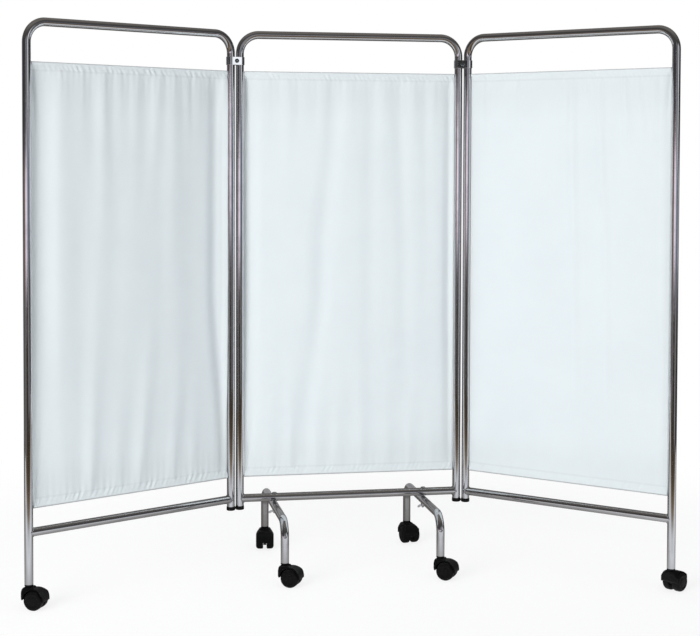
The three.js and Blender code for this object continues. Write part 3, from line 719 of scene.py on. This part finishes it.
link_nylon = moulded_nylon(
    "link_nylon", colour=(0.004, 0.004, 0.0043), dust_colour=(0.022, 0.022, 0.022),
    grain=0.5, dust=0.3, roughness=0.38)
link_flange = 12
link_plug_radius = 10.2
link_plug_top = 36
link_foot = inner_foot - fit_gap - link_flange
web_half_width = 6
web_low, web_high = link_foot + 4, link_foot + 8


def link_plug(place):
    profile = [
        (0, 0), (11.4, 0), (12.8, 0.5), (13.5, 1.4), (13.7, 2.7), (13.7, 10.6), (13.4, 11.6),
        (12.6, link_flange), (link_plug_radius, link_flange),
        (link_plug_radius, link_plug_top - 1.4), (link_plug_radius - 1, link_plug_top), (0, link_plug_top)]
    points, faces, places = turned([(r, link_foot + z) for r, z in profile])
    return points + np.array((place, 0, 0)), faces, places


for side, place in hinge_places.items():
    web_outline = rounded([
        (4, web_low), (post_spacing - 4, web_low), (post_spacing - 4, web_high), (4, web_high)], 0.8)
    web = prism(web_outline, -web_half_width, web_half_width)
    add_piece(f"post_link_{side}_moulded", [link_plug(0), link_plug(post_spacing), web], link_nylon,
              place, f"{side}_hinge", [f"post_link_{side}"])

# Curtain rods. A bright drawn rod through the pocket at the top and at the foot of each curtain,
# its ends in holes in the posts.
rod_radius = 2.5
rod_chamfer = 0.6
rod_insert = 7
rod_start = tube_radius - rod_insert
rod_end = frame_width - rod_start
rod_inset = 4.2
cloth_top = 1573
cloth_foot = 288
rod_heights = {"top": cloth_top - rod_inset, "foot": cloth_foot + rod_inset}
rod_steel = plated_metal(
    "rod_steel", bright=(0.66, 0.67, 0.69), dull=(0.50, 0.50, 0.50),
    haze=0.5, polish=0.8, roughness=0.20, bump=0.4)
rod_profile = ((rod_start, rod_radius - rod_chamfer), (rod_start + rod_chamfer, rod_radius),
               (rod_end - rod_chamfer, rod_radius), (rod_end, rod_radius - rod_chamfer))
for side, place in frame_places.items():
    for end, height in rod_heights.items():
        rod = loft([circle((x, 0, height), (0, 1, 0), (0, 0, 1), r, 20) for x, r in rod_profile], caps=True)
        add_piece(f"curtain_rod_{end}_{side}_drawn", [rod], rod_steel,
                  place, f"{side}_frame", [f"curtain_rod_{end}_{side}"])

# Curtains. Each is one width of white polyester cotton, hemmed at the sides and turned over at the
# top and the foot to make the rod pockets. The cloth is a little wider than its frame, so it
# gathers along the seams and hangs in soft folds that run in from the corners.
cloth_thickness = 0.45
cloth_side_gap = 1.5
cloth_start = tube_radius + cloth_side_gap
cloth_width = frame_width - 2 * cloth_start
top_pocket = 25
foot_pocket = 28
top_seam = cloth_top - top_pocket
foot_seam = cloth_foot + foot_pocket
pocket_radius = 3.9
pocket_rows = 10
side_hem = 11
hem_step = 0.6
edge_round = 0.5
hem_turn_in = np.array([side_hem, side_hem * 0.6, side_hem * 0.25, edge_round, 0.0])
hem_turned_back = np.array([1, 1, 1, 0.85, 0.42])
hem_columns = len(hem_turn_in)
cloth_columns = 270
cloth_rows = 130

# The folds of each curtain, as shares of its width from the viewer's left, with half widths and
# depths in mm, a depth being positive towards the viewer. A long fold and an edge have three values,
# for the top, the middle and the foot. A gather is given by its place at the seam and at its far
# end, its half width, its depth and the share of the drop that it reaches over.
long_folds = {
    "left": [
        ((0.935, 0.93, 0.985), 21, (-8, -10, -7)), ((0.14, 0.15, 0.17), 52, (5, 4, 1)),
        ((0.70, 0.70, 0.62), 60, (3, 2, 1)), ((0.37, 0.33, 0.33), 44, (0, 2, 1)),
    ],
    "centre": [
        ((0.427, 0.365, 0.275), 32, (-4, -7, -4)), ((0.60, 0.595, 0.58), 27, (-4, -2.5, 0)),
        ((0.735, 0.76, 0.78), 25, (-5, -3, 0)), ((0.98, 0.978, 0.985), 17, (-6, -9, -5)),
        ((0.865, 0.87, 0.87), 22, (-2, -1, 0)),
    ],
    "right": [
        ((0.525, 0.545, 0.565), 14, (6.5, 4, 0)), ((0.66, 0.70, 0.72), 13, (5.5, 3, 0)),
        ((0.965, 0.97, 0.97), 12, (3, 3, 1)), ((0.30, 0.33, 0.33), 60, (1, 2, 1)),
    ],
}
top_gathers = {
    "left": [
        (0.012, 0.032, 6, -8, 0.16), (0.15, 0.15, 16, 1.5, 0.12), (0.235, 0.235, 22, 3, 0.22),
        (0.34, 0.345, 19, 5.5, 0.32), (0.43, 0.435, 17, 2.5, 0.2), (0.51, 0.50, 19, 3.5, 0.25),
        (0.625, 0.59, 20, 5, 0.30), (0.705, 0.69, 24, 4, 0.42), (0.777, 0.78, 11, 3, 0.16),
        (0.84, 0.83, 15, 2.5, 0.18), (0.982, 0.965, 8, 3, 0.12),
    ],
    "centre": [
        (0.004, 0.01, 6, -6, 0.14), (0.10, 0.10, 14, 1.5, 0.1), (0.205, 0.205, 20, 3.5, 0.24),
        (0.285, 0.285, 13, 1.5, 0.12), (0.375, 0.37, 17, 3, 0.2), (0.49, 0.485, 18, 2, 0.15),
        (0.655, 0.655, 14, 2, 0.15), (0.80, 0.81, 16, 2.5, 0.2), (0.90, 0.89, 12, 2.5, 0.16),
    ],
    "right": [
        (0.085, 0.09, 9, 4, 0.14), (0.26, 0.262, 8, 4, 0.1), (0.47, 0.47, 10, 1.5, 0.08),
        (0.60, 0.605, 9, 2, 0.1), (0.78, 0.80, 9, 5, 0.17), (0.84, 0.87, 9, 4.5, 0.13),
        (0.925, 0.92, 10, 5, 0.12), (0.995, 0.975, 7, -4, 0.12),
    ],
}
foot_gathers = {
    "left": [
        (0.012, 0.04, 7, -6, 0.14), (0.15, 0.15, 24, 2, 0.15), (0.275, 0.295, 20, 6, 0.35),
        (0.41, 0.43, 26, 4, 0.38), (0.52, 0.585, 22, 6, 0.40), (0.69, 0.735, 20, 4.5, 0.32),
        (0.81, 0.815, 17, 3, 0.2),
    ],
    "centre": [
        (0.015, 0.04, 8, -5, 0.14), (0.12, 0.12, 18, 2.5, 0.2), (0.215, 0.225, 16, 3, 0.25),
        (0.34, 0.35, 18, 3, 0.2), (0.44, 0.45, 20, 3, 0.25), (0.55, 0.56, 20, 3.5, 0.3),
        (0.68, 0.68, 19, 3, 0.22), (0.79, 0.79, 17, 3, 0.18), (0.90, 0.89, 16, 2, 0.14),
    ],
    "right": [
        (0.20, 0.20, 22, 2, 0.25), (0.42, 0.42, 20, 1.5, 0.15), (0.60, 0.61, 22, 2, 0.25),
        (0.80, 0.80, 18, 1.5, 0.12),
    ],
}
curtain_edges = {
    "left": (((-12, -10, -4), 90), ((6, 6, 2), 22)),
    "centre": (((-11, -13, -4), 58), ((4, 4, 1), 16)),
    "right": (((-2, -3, -2), 40), ((1, 1, 0), 24)),
}
curtain_gather = {"left": 1.0, "centre": 0.7, "right": 0.45}
curtain_seeds = {"left": 3, "centre": 11, "right": 27}
viewer_side = {"left": 1, "centre": -1, "right": -1}
belly_depth = 5
seam_calm = 22
top_ripple_reach = 45
foot_ripple_reach = 40
pucker_slant = 12
# Waves in the cloth: their lengths and their size, in mm
top_ripples = (19, 27, 41), 0.55
foot_ripples = (21, 31, 47), 0.5
belly_waves = (150, 230, 340), 1.3
pucker_waves = (14, 17, 21), 1.35
edge_waves = (90, 170, 330), 0.5


def wandering(rng, x, lengths, size):
    """A sum of waves with drawn phases and sizes."""
    total = np.zeros_like(x)
    for length in lengths:
        phase, share = rng.uniform(0, 2 * math.pi), rng.uniform(0.6, 1.0)
        total += share * np.sin(2 * math.pi * x / (length * rng.uniform(0.9, 1.1)) + phase)
    return size * total / math.sqrt(len(lengths))


def eased(share):
    share = np.clip(share, 0, 1)
    return share * share * (3 - 2 * share)


def down_the_drop(down, values):
    """A value that eases from its top one over its middle one to its foot one."""
    top, middle, foot = values
    return top + (middle - top) * eased(2 * down) + (foot - middle) * eased(2 * down - 1)


def gathers(folds, share, away):
    """Short folds that run out from a seam; away is the share of the drop from that seam."""
    depth = np.zeros_like(share)
    for at_seam, at_end, half, size, reach in folds:
        run = np.clip(away / reach, 0, 3)
        middle = at_seam + (at_end - at_seam) * np.minimum(run, 1)
        spread = half * (1 + 0.5 * run) / cloth_width
        depth += size * np.exp(-(run * 1.1)**1.6) * np.exp(-((share - middle) / spread)**2)
    return depth


def cloth_depth(side, share, down):
    """How far the cloth stands towards the viewer, for shares of the width and of the drop."""
    rng = random.Random(curtain_seeds[side])
    x = share * cloth_width
    drop = top_seam - foot_seam
    from_top, from_foot = down * drop, (1 - down) * drop
    belly = np.sin(math.pi * np.clip(down, 0, 1))
    depth = belly_depth * belly * np.sin(math.pi * np.clip(share, 0, 1))
    for path, half, sizes in long_folds[side]:
        across = (share - down_the_drop(down, path)) * cloth_width / half
        depth += down_the_drop(down, sizes) * np.exp(-across**2)
    (left_sizes, left_reach), (right_sizes, right_reach) = curtain_edges[side]
    depth += down_the_drop(down, left_sizes) * (1 - eased(x / left_reach))
    depth += down_the_drop(down, right_sizes) * (1 - eased((cloth_width - x) / right_reach))
    depth += gathers(top_gathers[side], share, down) + gathers(foot_gathers[side], share, 1 - down)
    depth *= 1 - 0.5 * np.exp(-from_top / seam_calm) - 0.5 * np.exp(-from_foot / seam_calm)
    gather = curtain_gather[side]
    near_top, near_foot = np.exp(-from_top / top_ripple_reach), np.exp(-from_foot / foot_ripple_reach)
    depth += gather * near_top * wandering(rng, x + 20 * down, *top_ripples)
    depth += gather * near_foot * wandering(rng, x - 20 * down, *foot_ripples)
    depth += gather * belly * wandering(rng, x + rng.uniform(-40, 40) * down, *belly_waves)
    return depth


def pocket_puckers(side, share, up):
    """Short slanting puckers between a seam and its rod."""
    rng = random.Random(curtain_seeds[side] + 5)
    x = share * cloth_width + pucker_slant * up
    strength = 0.65 + 0.35 * np.sin(2 * math.pi * x / 137 + rng.uniform(0, 6))
    return curtain_gather[side] * strength * wandering(rng, x, *pucker_waves)


# How far from the rods' plane the cloth lies at its seams, its hems and down the drop
seam_offset = 0.4
back_offset = 0.75
hem_offset = 0.95
hem_reach = 1.6
cloth_offset = 0.15
crown_rows = 4


def pocket_side(seam, rod, behind=False):
    """One side of a pocket, from the seam to beside the rod."""
    rows = []
    for t in np.linspace(0, 1, pocket_rows + 1)[:-1]:
        off = seam_offset + (pocket_radius - seam_offset) * t**1.3
        if behind:
            off = -max(off, back_offset)
        puckers = math.sin(math.pi * (0.12 + 0.88 * t))**0.8
        rows.append((seam + (rod - seam) * t, off, (1 - t)**2, puckers, t))
    return rows


def round_the_rod(rod, start, end):
    return [(rod + pocket_radius * math.sin(a), pocket_radius * math.cos(a), 0.0, 0.0, 1.0)
            for a in np.radians(np.linspace(start, end, 2 * crown_rows + 1))]


def cloth_profile():
    """Down the cloth from the inner edge of the top hem to the inner edge of the foot hem: height,
    distance in front of the rods' plane, share of the folds, share of the puckers, way up the pocket."""
    top_rod, foot_rod = rod_heights["top"], rod_heights["foot"]
    drop = [(top_seam + (foot_seam - top_seam) * i / cloth_rows, cloth_offset, 1.0, 0.0, 0.0)
            for i in range(1, cloth_rows)]
    return np.asarray([
        (top_seam - hem_reach, -hem_offset, 1.0, 0.0, 0.0),
        *pocket_side(top_seam, top_rod, behind=True),
        *round_the_rod(top_rod, 180, 0),
        *pocket_side(top_seam, top_rod)[::-1],
        *drop,
        *pocket_side(foot_seam, foot_rod),
        *round_the_rod(foot_rod, 0, -180),
        *pocket_side(foot_seam, foot_rod, behind=True)[::-1],
        (foot_seam + hem_reach, -hem_offset, 1.0, 0.0, 0.0),
    ])


cloth_line = cloth_profile()
cloth_steps = np.linalg.norm(np.diff(cloth_line[:, :2], axis=0), axis=1)
cloth_stations = np.concatenate([[0], np.cumsum(cloth_steps)])
top_crown_row = 1 + pocket_rows + crown_rows
top_seam_row = 2 * (pocket_rows + crown_rows) + 1
foot_seam_row = top_seam_row + cloth_rows
foot_crown_row = len(cloth_line) - 1 - top_crown_row


def cloth_surface(side):
    """The cloth's points as rows down and columns across, with the side hems turned behind."""
    line = cloth_line
    slope = np.gradient(line[:, :2], axis=0)
    slope /= np.linalg.norm(slope, axis=1)[:, None]
    inward = np.stack([-slope[:, 1], slope[:, 0]], axis=1)
    body = np.linspace(0, 1, cloth_columns + 1)
    flat = edge_round + (cloth_width - 2 * edge_round) * body
    x = np.concatenate([hem_turn_in, flat, cloth_width - hem_turn_in[::-1]]) + cloth_start
    behind = hem_step * np.concatenate(
        [hem_turned_back, np.zeros(cloth_columns + 1), hem_turned_back[::-1]])
    columns, heights = np.meshgrid(x, line[:, 0])
    down = np.clip((top_seam - heights) / (top_seam - foot_seam), 0, 1)
    share = (columns - cloth_start) / cloth_width
    seen_share = 1 - share if side == "left" else share
    depth = cloth_depth(side, seen_share, down) * line[:, 2][:, None]
    depth += pocket_puckers(side, seen_share, line[:, 4][:, None]) * line[:, 3][:, None]
    front = line[:, 1][:, None] + depth + inward[:, 1][:, None] * behind
    heights = heights + inward[:, 0][:, None] * behind
    edge = wandering(random.Random(curtain_seeds[side] + 1), heights, *edge_waves)
    columns = columns + edge * (2 * share - 1)**8
    return np.stack([columns, viewer_side[side] * front, heights], axis=2)


def weave_group():
    """Plain weave: threads over and under each other, with slubs."""
    group, given, result = new_group(
        "plain_weave", {"Threads per Metre": 1400.0, "Slub": 0.4}, ["Shade", "Height"])
    split = add_node(group, "ShaderNodeSeparateXYZ", {0: given["Vector"]}).outputs
    turn = maths(group, "MULTIPLY", given["Threads per Metre"], math.pi)
    warp = maths(group, "SINE", maths(group, "MULTIPLY", split[0], turn))
    weft = maths(group, "SINE", maths(group, "MULTIPLY", split[1], turn))
    crossing = maths(group, "MULTIPLY", warp, weft)
    slub_down = noise(group, stretched(group, given["Vector"], (1, 0.02, 1)), 900.0, 2.0)
    slub_across = noise(group, stretched(group, given["Vector"], (0.02, 1, 1)), 900.0, 2.0)
    slubs = maths(group, "ADD", slub_down, slub_across)
    height = maths(group, "MULTIPLY_ADD", slubs, given["Slub"], crossing)
    uneven = maths(group, "SUBTRACT", slubs, 1.0)
    shade = maths(group, "MULTIPLY_ADD", uneven, given["Slub"], 0.5, clamp=True)
    connect(group, result, {"Shade": shade, "Height": height})
    return group


plain_weave = weave_group()
# The grey that the painted shade lines on the cloth darken towards
painted_shade_colour = (0.30, 0.30, 0.295, 1)


def woven_cloth(name, light, dark, threads, slub, bump, roughness, sheen, shade_lines=()):
    """Each shade line is a place along the cloth, its reach to either side in metres, and a share of
    painted shade that darkens the colour there.
    """
    material, tree, surface = new_material(name)
    vector = add_node(tree, "ShaderNodeUVMap", uv_map="surface").outputs[0]
    inputs = {"Vector": vector, "Threads per Metre": threads, "Slub": slub}
    weave = add_node(tree, "ShaderNodeGroup", inputs, node_tree=plain_weave).outputs
    wash = between(tree, noise(tree, vector, 5.0, 4.0, 0.55), 0.3, 0.75, 0.0, 0.35)
    share = maths(tree, "MULTIPLY_ADD", weave["Shade"], 0.5, wash, clamp=True)
    colour = blend_colours(tree, share, (*light, 1), (*dark, 1))
    along = add_node(tree, "ShaderNodeSeparateXYZ", {0: vector}).outputs[1]
    # Painted shade: along each line the colour is darkened towards the grey
    for place, reach, strength in shade_lines:
        off = maths(tree, "ABSOLUTE", maths(tree, "SUBTRACT", along, place))
        shade_share = between(tree, off, reach * 0.35, reach, strength, 0.0)
        colour = blend_colours(tree, shade_share, colour, painted_shade_colour)
    connect(tree, surface, {
        "Base Color": colour,
        "Normal": relief(tree, weave["Height"], bump, 0.00012),
        "Roughness": roughness,
        "Sheen Weight": sheen,
        "Sheen Roughness": 0.4,
    })
    return material


# Painted shade: thin dark lines along the folded edges over the rods and along the seams, where the cloth
# lies double, and a faint wider darkening from the folded edges towards the top and the foot
painted_hem_shade = [(cloth_stations[row] * MM, reach, share) for row, reach, share in (
    (top_crown_row, 0.006, 0.55), (foot_crown_row, 0.008, 0.80), (top_crown_row, 0.17, 0.06),
    (foot_crown_row, 0.15, 0.05), (top_seam_row, 0.004, 0.08), (foot_seam_row, 0.004, 0.08))]
curtain_cloth = woven_cloth(
    "curtain_cloth", light=(0.80, 0.858, 0.882), dark=(0.74, 0.80, 0.832),
    threads=1400.0, slub=0.35, bump=0.25, roughness=0.88, sheen=0.12, shade_lines=painted_hem_shade)
sewing_thread = woven_cloth(
    "sewing_thread", light=(0.84, 0.87, 0.89), dark=(0.70, 0.74, 0.77),
    threads=5200.0, slub=0.5, bump=0.5, roughness=0.7, sheen=0.2)
stitch_length = 2.6
stitch_gap = 1.3
stitch_width = 0.42
stitch_depth = 0.05
seam_step = 1.0
hem_stitch_inset = 1.5
hem_stitch_column = int(cloth_columns * (side_hem - hem_stitch_inset) / cloth_width)


def stitch_line(points, out):
    """A row of lock stitches along a line of points, each a small spindle of thread."""
    along = np.concatenate([[0], np.cumsum(np.linalg.norm(np.diff(points, axis=0), axis=1))])
    lift = out * (cloth_thickness / 2 + stitch_depth)
    half = stitch_length / 2
    verts, faces, places = [], [], []
    place = stitch_gap
    while place + stitch_length < along[-1]:
        start, middle, end = (
            np.array([np.interp(place + stitch_length * t, along, points[:, k]) for k in range(3)])
            for t in (0, 0.5, 1))
        across = np.cross((end - start) / np.linalg.norm(end - start), out) * stitch_width
        n = len(verts)
        verts += [
            start + lift * 0.4, middle + lift + out * stitch_width * 0.6, middle + lift * 0.6 + across,
            middle - out * stitch_depth, middle + lift * 0.6 - across, end + lift * 0.4]
        for a, b in ((1, 2), (2, 3), (3, 4), (4, 1)):
            faces += [(n, n + a, n + b), (n + 5, n + b, n + a)]
            places += [(0, 0), (half, stitch_width), (half, -stitch_width),
                       (stitch_length, 0), (half, -stitch_width), (half, stitch_width)]
        place += stitch_length + stitch_gap
    return np.asarray(verts), faces, places


for side, place in frame_places.items():
    surface_points = cloth_surface(side)
    sheet = loft(surface_points, around=False, stations=cloth_stations)
    cloth = add_piece(f"curtain_{side}_cloth", [sheet], curtain_cloth,
                      place, f"{side}_frame", [f"curtain_{side}"], crease=180)
    add_modifier(cloth, "thickness", "SOLIDIFY", thickness=cloth_thickness * MM, offset=0.0)
    towards_viewer = np.array([0, viewer_side[side], 0])
    body = surface_points[top_seam_row:foot_seam_row + 1, hem_columns:hem_columns + cloth_columns + 1]
    sewn = [(body[0], seam_step), (body[-1], seam_step),
            (body[:, hem_stitch_column], hem_step), (body[:, -1 - hem_stitch_column], hem_step)]
    shapes = []
    for points, step in sewn:
        shapes += [stitch_line(points, towards_viewer),
                   stitch_line(points - towards_viewer * step, -towards_viewer)]
    stitching = add_piece(f"curtain_{side}_stitching", shapes, sewing_thread,
                          place, f"{side}_frame", crease=60)

# Casters. Six alike: a stem with a collar that plugs into the tube's end, a black nylon hood that
# swivels on it, and two plain nylon wheels on a steel axle through the hood's middle wall.
# The real wheels are a little larger: this radius stands on the floor where the solids' flats do.
wheel_radius = 28.443
wheel_width = 24
wheel_gap = 0.7
caster_trail = 22
hood_wall_half = 5
axle_radius = 3
axle_half = 20.9
hood_radius = 33
hood_half = hood_wall_half + wheel_gap + wheel_width
hood_front = -14
hood_top = 65
hood_top_half = 14
hood_shoulder = 46
hood_tip = caster_trail + hood_radius + 1
wheel_room_radius = 30.3
well_clear = 80
hood_nylon = moulded_nylon(
    "hood_nylon", colour=(0.003, 0.003, 0.0033), dust_colour=(0.016, 0.016, 0.0165),
    grain=0.6, dust=0.30, roughness=0.40)
wheel_nylon = moulded_nylon(
    "wheel_nylon", colour=(0.0035, 0.0035, 0.0038), dust_colour=(0.022, 0.0215, 0.021),
    grain=0.5, dust=0.5, roughness=0.46)


def cutter(name, shape):
    """A helper solid, which goes again once the hood's mesh is made."""
    piece = bpy.data.objects.new(name, add_mesh(name, [shape], hood_nylon))
    scene.collection.objects.link(piece)
    return piece


def round_the_axle(radius, degrees):
    return [(caster_trail + radius * math.cos(a), wheel_radius + radius * math.sin(a))
            for a in np.radians(degrees)]


def hood_mesh():
    """The hood as cut solids, then remeshed so that every edge takes a moulded rounding."""
    outline = round_the_axle(hood_radius, np.linspace(-4, 104, 40)) + [
        (14, 61.5), (13, hood_top), (-8, hood_top), (-12, hood_top - 2), (hood_front, hood_top - 6),
        (hood_front, 36), (-12.5, 33), (12, 15), (16, 13), (28, 13), (32, 15)]
    body = cutter("hood_body", prism(outline, -hood_half, hood_half))
    right_side = [(hood_half, 0), (hood_half, hood_shoulder - 5), (hood_half - 1.5, hood_shoulder),
                  (hood_top_half + 3.5, hood_top - 2.5), (hood_top_half, hood_top + 0.2)]
    front = [(-hood_half, 0)] + right_side + [(-y, z) for y, z in right_side[:0:-1]]
    envelope = cutter("hood_envelope", prism(front, -well_clear, well_clear, "X"))
    half = [(hood_front - 0.2, -hood_half + 6), (-11, -hood_half + 1.5), (-6, -hood_half - 0.1),
            (hood_tip - 24, -hood_half - 0.1), (hood_tip - 12, -hood_half + 2.5),
            (hood_tip - 4, -hood_half + 6), (hood_tip, -hood_half + 10)]
    plan = half + [(x, -y) for x, y in reversed(half)]
    footprint = cutter("hood_footprint", prism(plan, -5, well_clear, "Z"))
    tools = [(envelope, "INTERSECT"), (footprint, "INTERSECT")]
    for way in (1, -1):
        low, high = sorted((way * hood_wall_half, way * (hood_half + 4)))
        room = prism(round_the_axle(wheel_room_radius, np.arange(0, 360, 6)), low, high)
        tools.append((cutter(f"hood_room_{way}", room), "DIFFERENCE"))
    for tool, operation in tools:
        add_modifier(body, operation.lower(), "BOOLEAN", operation=operation, object=tool, solver="EXACT")
    add_modifier(body, "moulding", "REMESH", mode="VOXEL", voxel_size=0.8 * MM)
    add_modifier(body, "rounding", "SMOOTH", factor=0.5, iterations=5)
    add_modifier(body, "fewer_faces", "DECIMATE", ratio=0.35)
    bpy.context.view_layer.update()
    graph = bpy.context.evaluated_depsgraph_get()
    made = bpy.data.meshes.new_from_object(body.evaluated_get(graph), depsgraph=graph)
    for helper in (body, *(tool for tool, _ in tools)):
        bpy.data.objects.remove(helper, do_unlink=True)
    made.materials.clear()
    made.materials.append(hood_nylon)
    smooth_mesh(made, 70)
    return made


def wheel_shape():
    """One wheel, its inner face at zero: tread, rounded shoulder, a raised ring and a hub cap."""
    r = wheel_radius
    return turned([
        (0, 15.5), (3.2, 15.5), (3.2, 0), (24.5, 0), (26.6, 0.5), (r - 0.7, 1.7), (r - 0.1, 4), (r, 6),
        (r, 13), (r - 0.3, 15.8), (r - 1.2, 18.4), (r - 2.7, 20.6), (r - 4.7, 22.3), (r - 6.9, 23.3),
        (r - 8.8, 23.7), (18.8, 23.6), (18.1, 22.8), (17.2, 22.4), (14.5, 22.2), (13.6, 22.4),
        (13.1, 23.1), (12.2, 23.5), (6, 23.75), (0, 23.8)], 64)


def stem_shape():
    """From inside the hood up: the pivot, the collar under the tube's end, and the plug in the tube."""
    return turned([
        (0, 47), (3.4, 47), (4, 47.6), (4, 65.3), (11.9, 65.3), (12.5, 65.8), (12.7, 66.4), (12.7, 69.9),
        (12.5, 70.5), (12.1, 70.7), (10.2, 70.7), (10.2, 99), (8.8, 100.7), (0, 100.7)])


outer_places = {
    "outer_left": frame_places["left"] @ placed(frame_width, 0),
    "outer_right": frame_places["right"] @ placed(frame_width, 0),
}
trail_angles = {
    "front_left": -28, "rear_left": -97, "front_right": -33, "rear_right": -79,
    "outer_left": -25, "outer_right": 35,
}
one_hood = hood_mesh()
for name, angle in trail_angles.items():
    end, side = name.split("_")
    if end == "outer":
        spot, carrier = outer_places[name].translation, f"{side}_frame"
    else:
        reach = -leg_reach if end == "front" else leg_reach
        spot, carrier = (leg_places[side] @ placed(0, reach)).translation, "centre_frame"
    place = Matrix.Translation(spot) @ Matrix.Rotation(math.radians(angle), 4, "Z")
    add_piece(f"caster_{name}_stem_collar", [stem_shape()], hood_nylon,
              place, carrier, [f"caster_{name}_stem"])
    add_piece(f"caster_{name}_hood_moulded", one_hood.copy(), hood_nylon,
              place, f"caster_{name}", [f"caster_{name}_hood"])
    for hand, way in (("left", 1), ("right", -1)):
        hub = placed(caster_trail, way * (hood_wall_half + wheel_gap), wheel_radius)
        add_piece(f"caster_{name}_{hand}_wheel_turned", [wheel_shape()], wheel_nylon,
                  place @ hub @ tipped(-90 * way),
                  f"caster_{name}_{hand}_wheel", [f"caster_{name}_{hand}_wheel"])
    axle = turned([(0, -axle_half), (axle_radius - 0.6, -axle_half), (axle_radius, 0.6 - axle_half),
                   (axle_radius, axle_half - 0.6), (axle_radius - 0.6, axle_half), (0, axle_half)], 24)
    add_piece(f"caster_{name}_axle_turned", [axle], zinc_plate,
              place @ placed(caster_trail, 0, wheel_radius) @ tipped(90),
              f"caster_{name}", [f"caster_{name}_axle"])
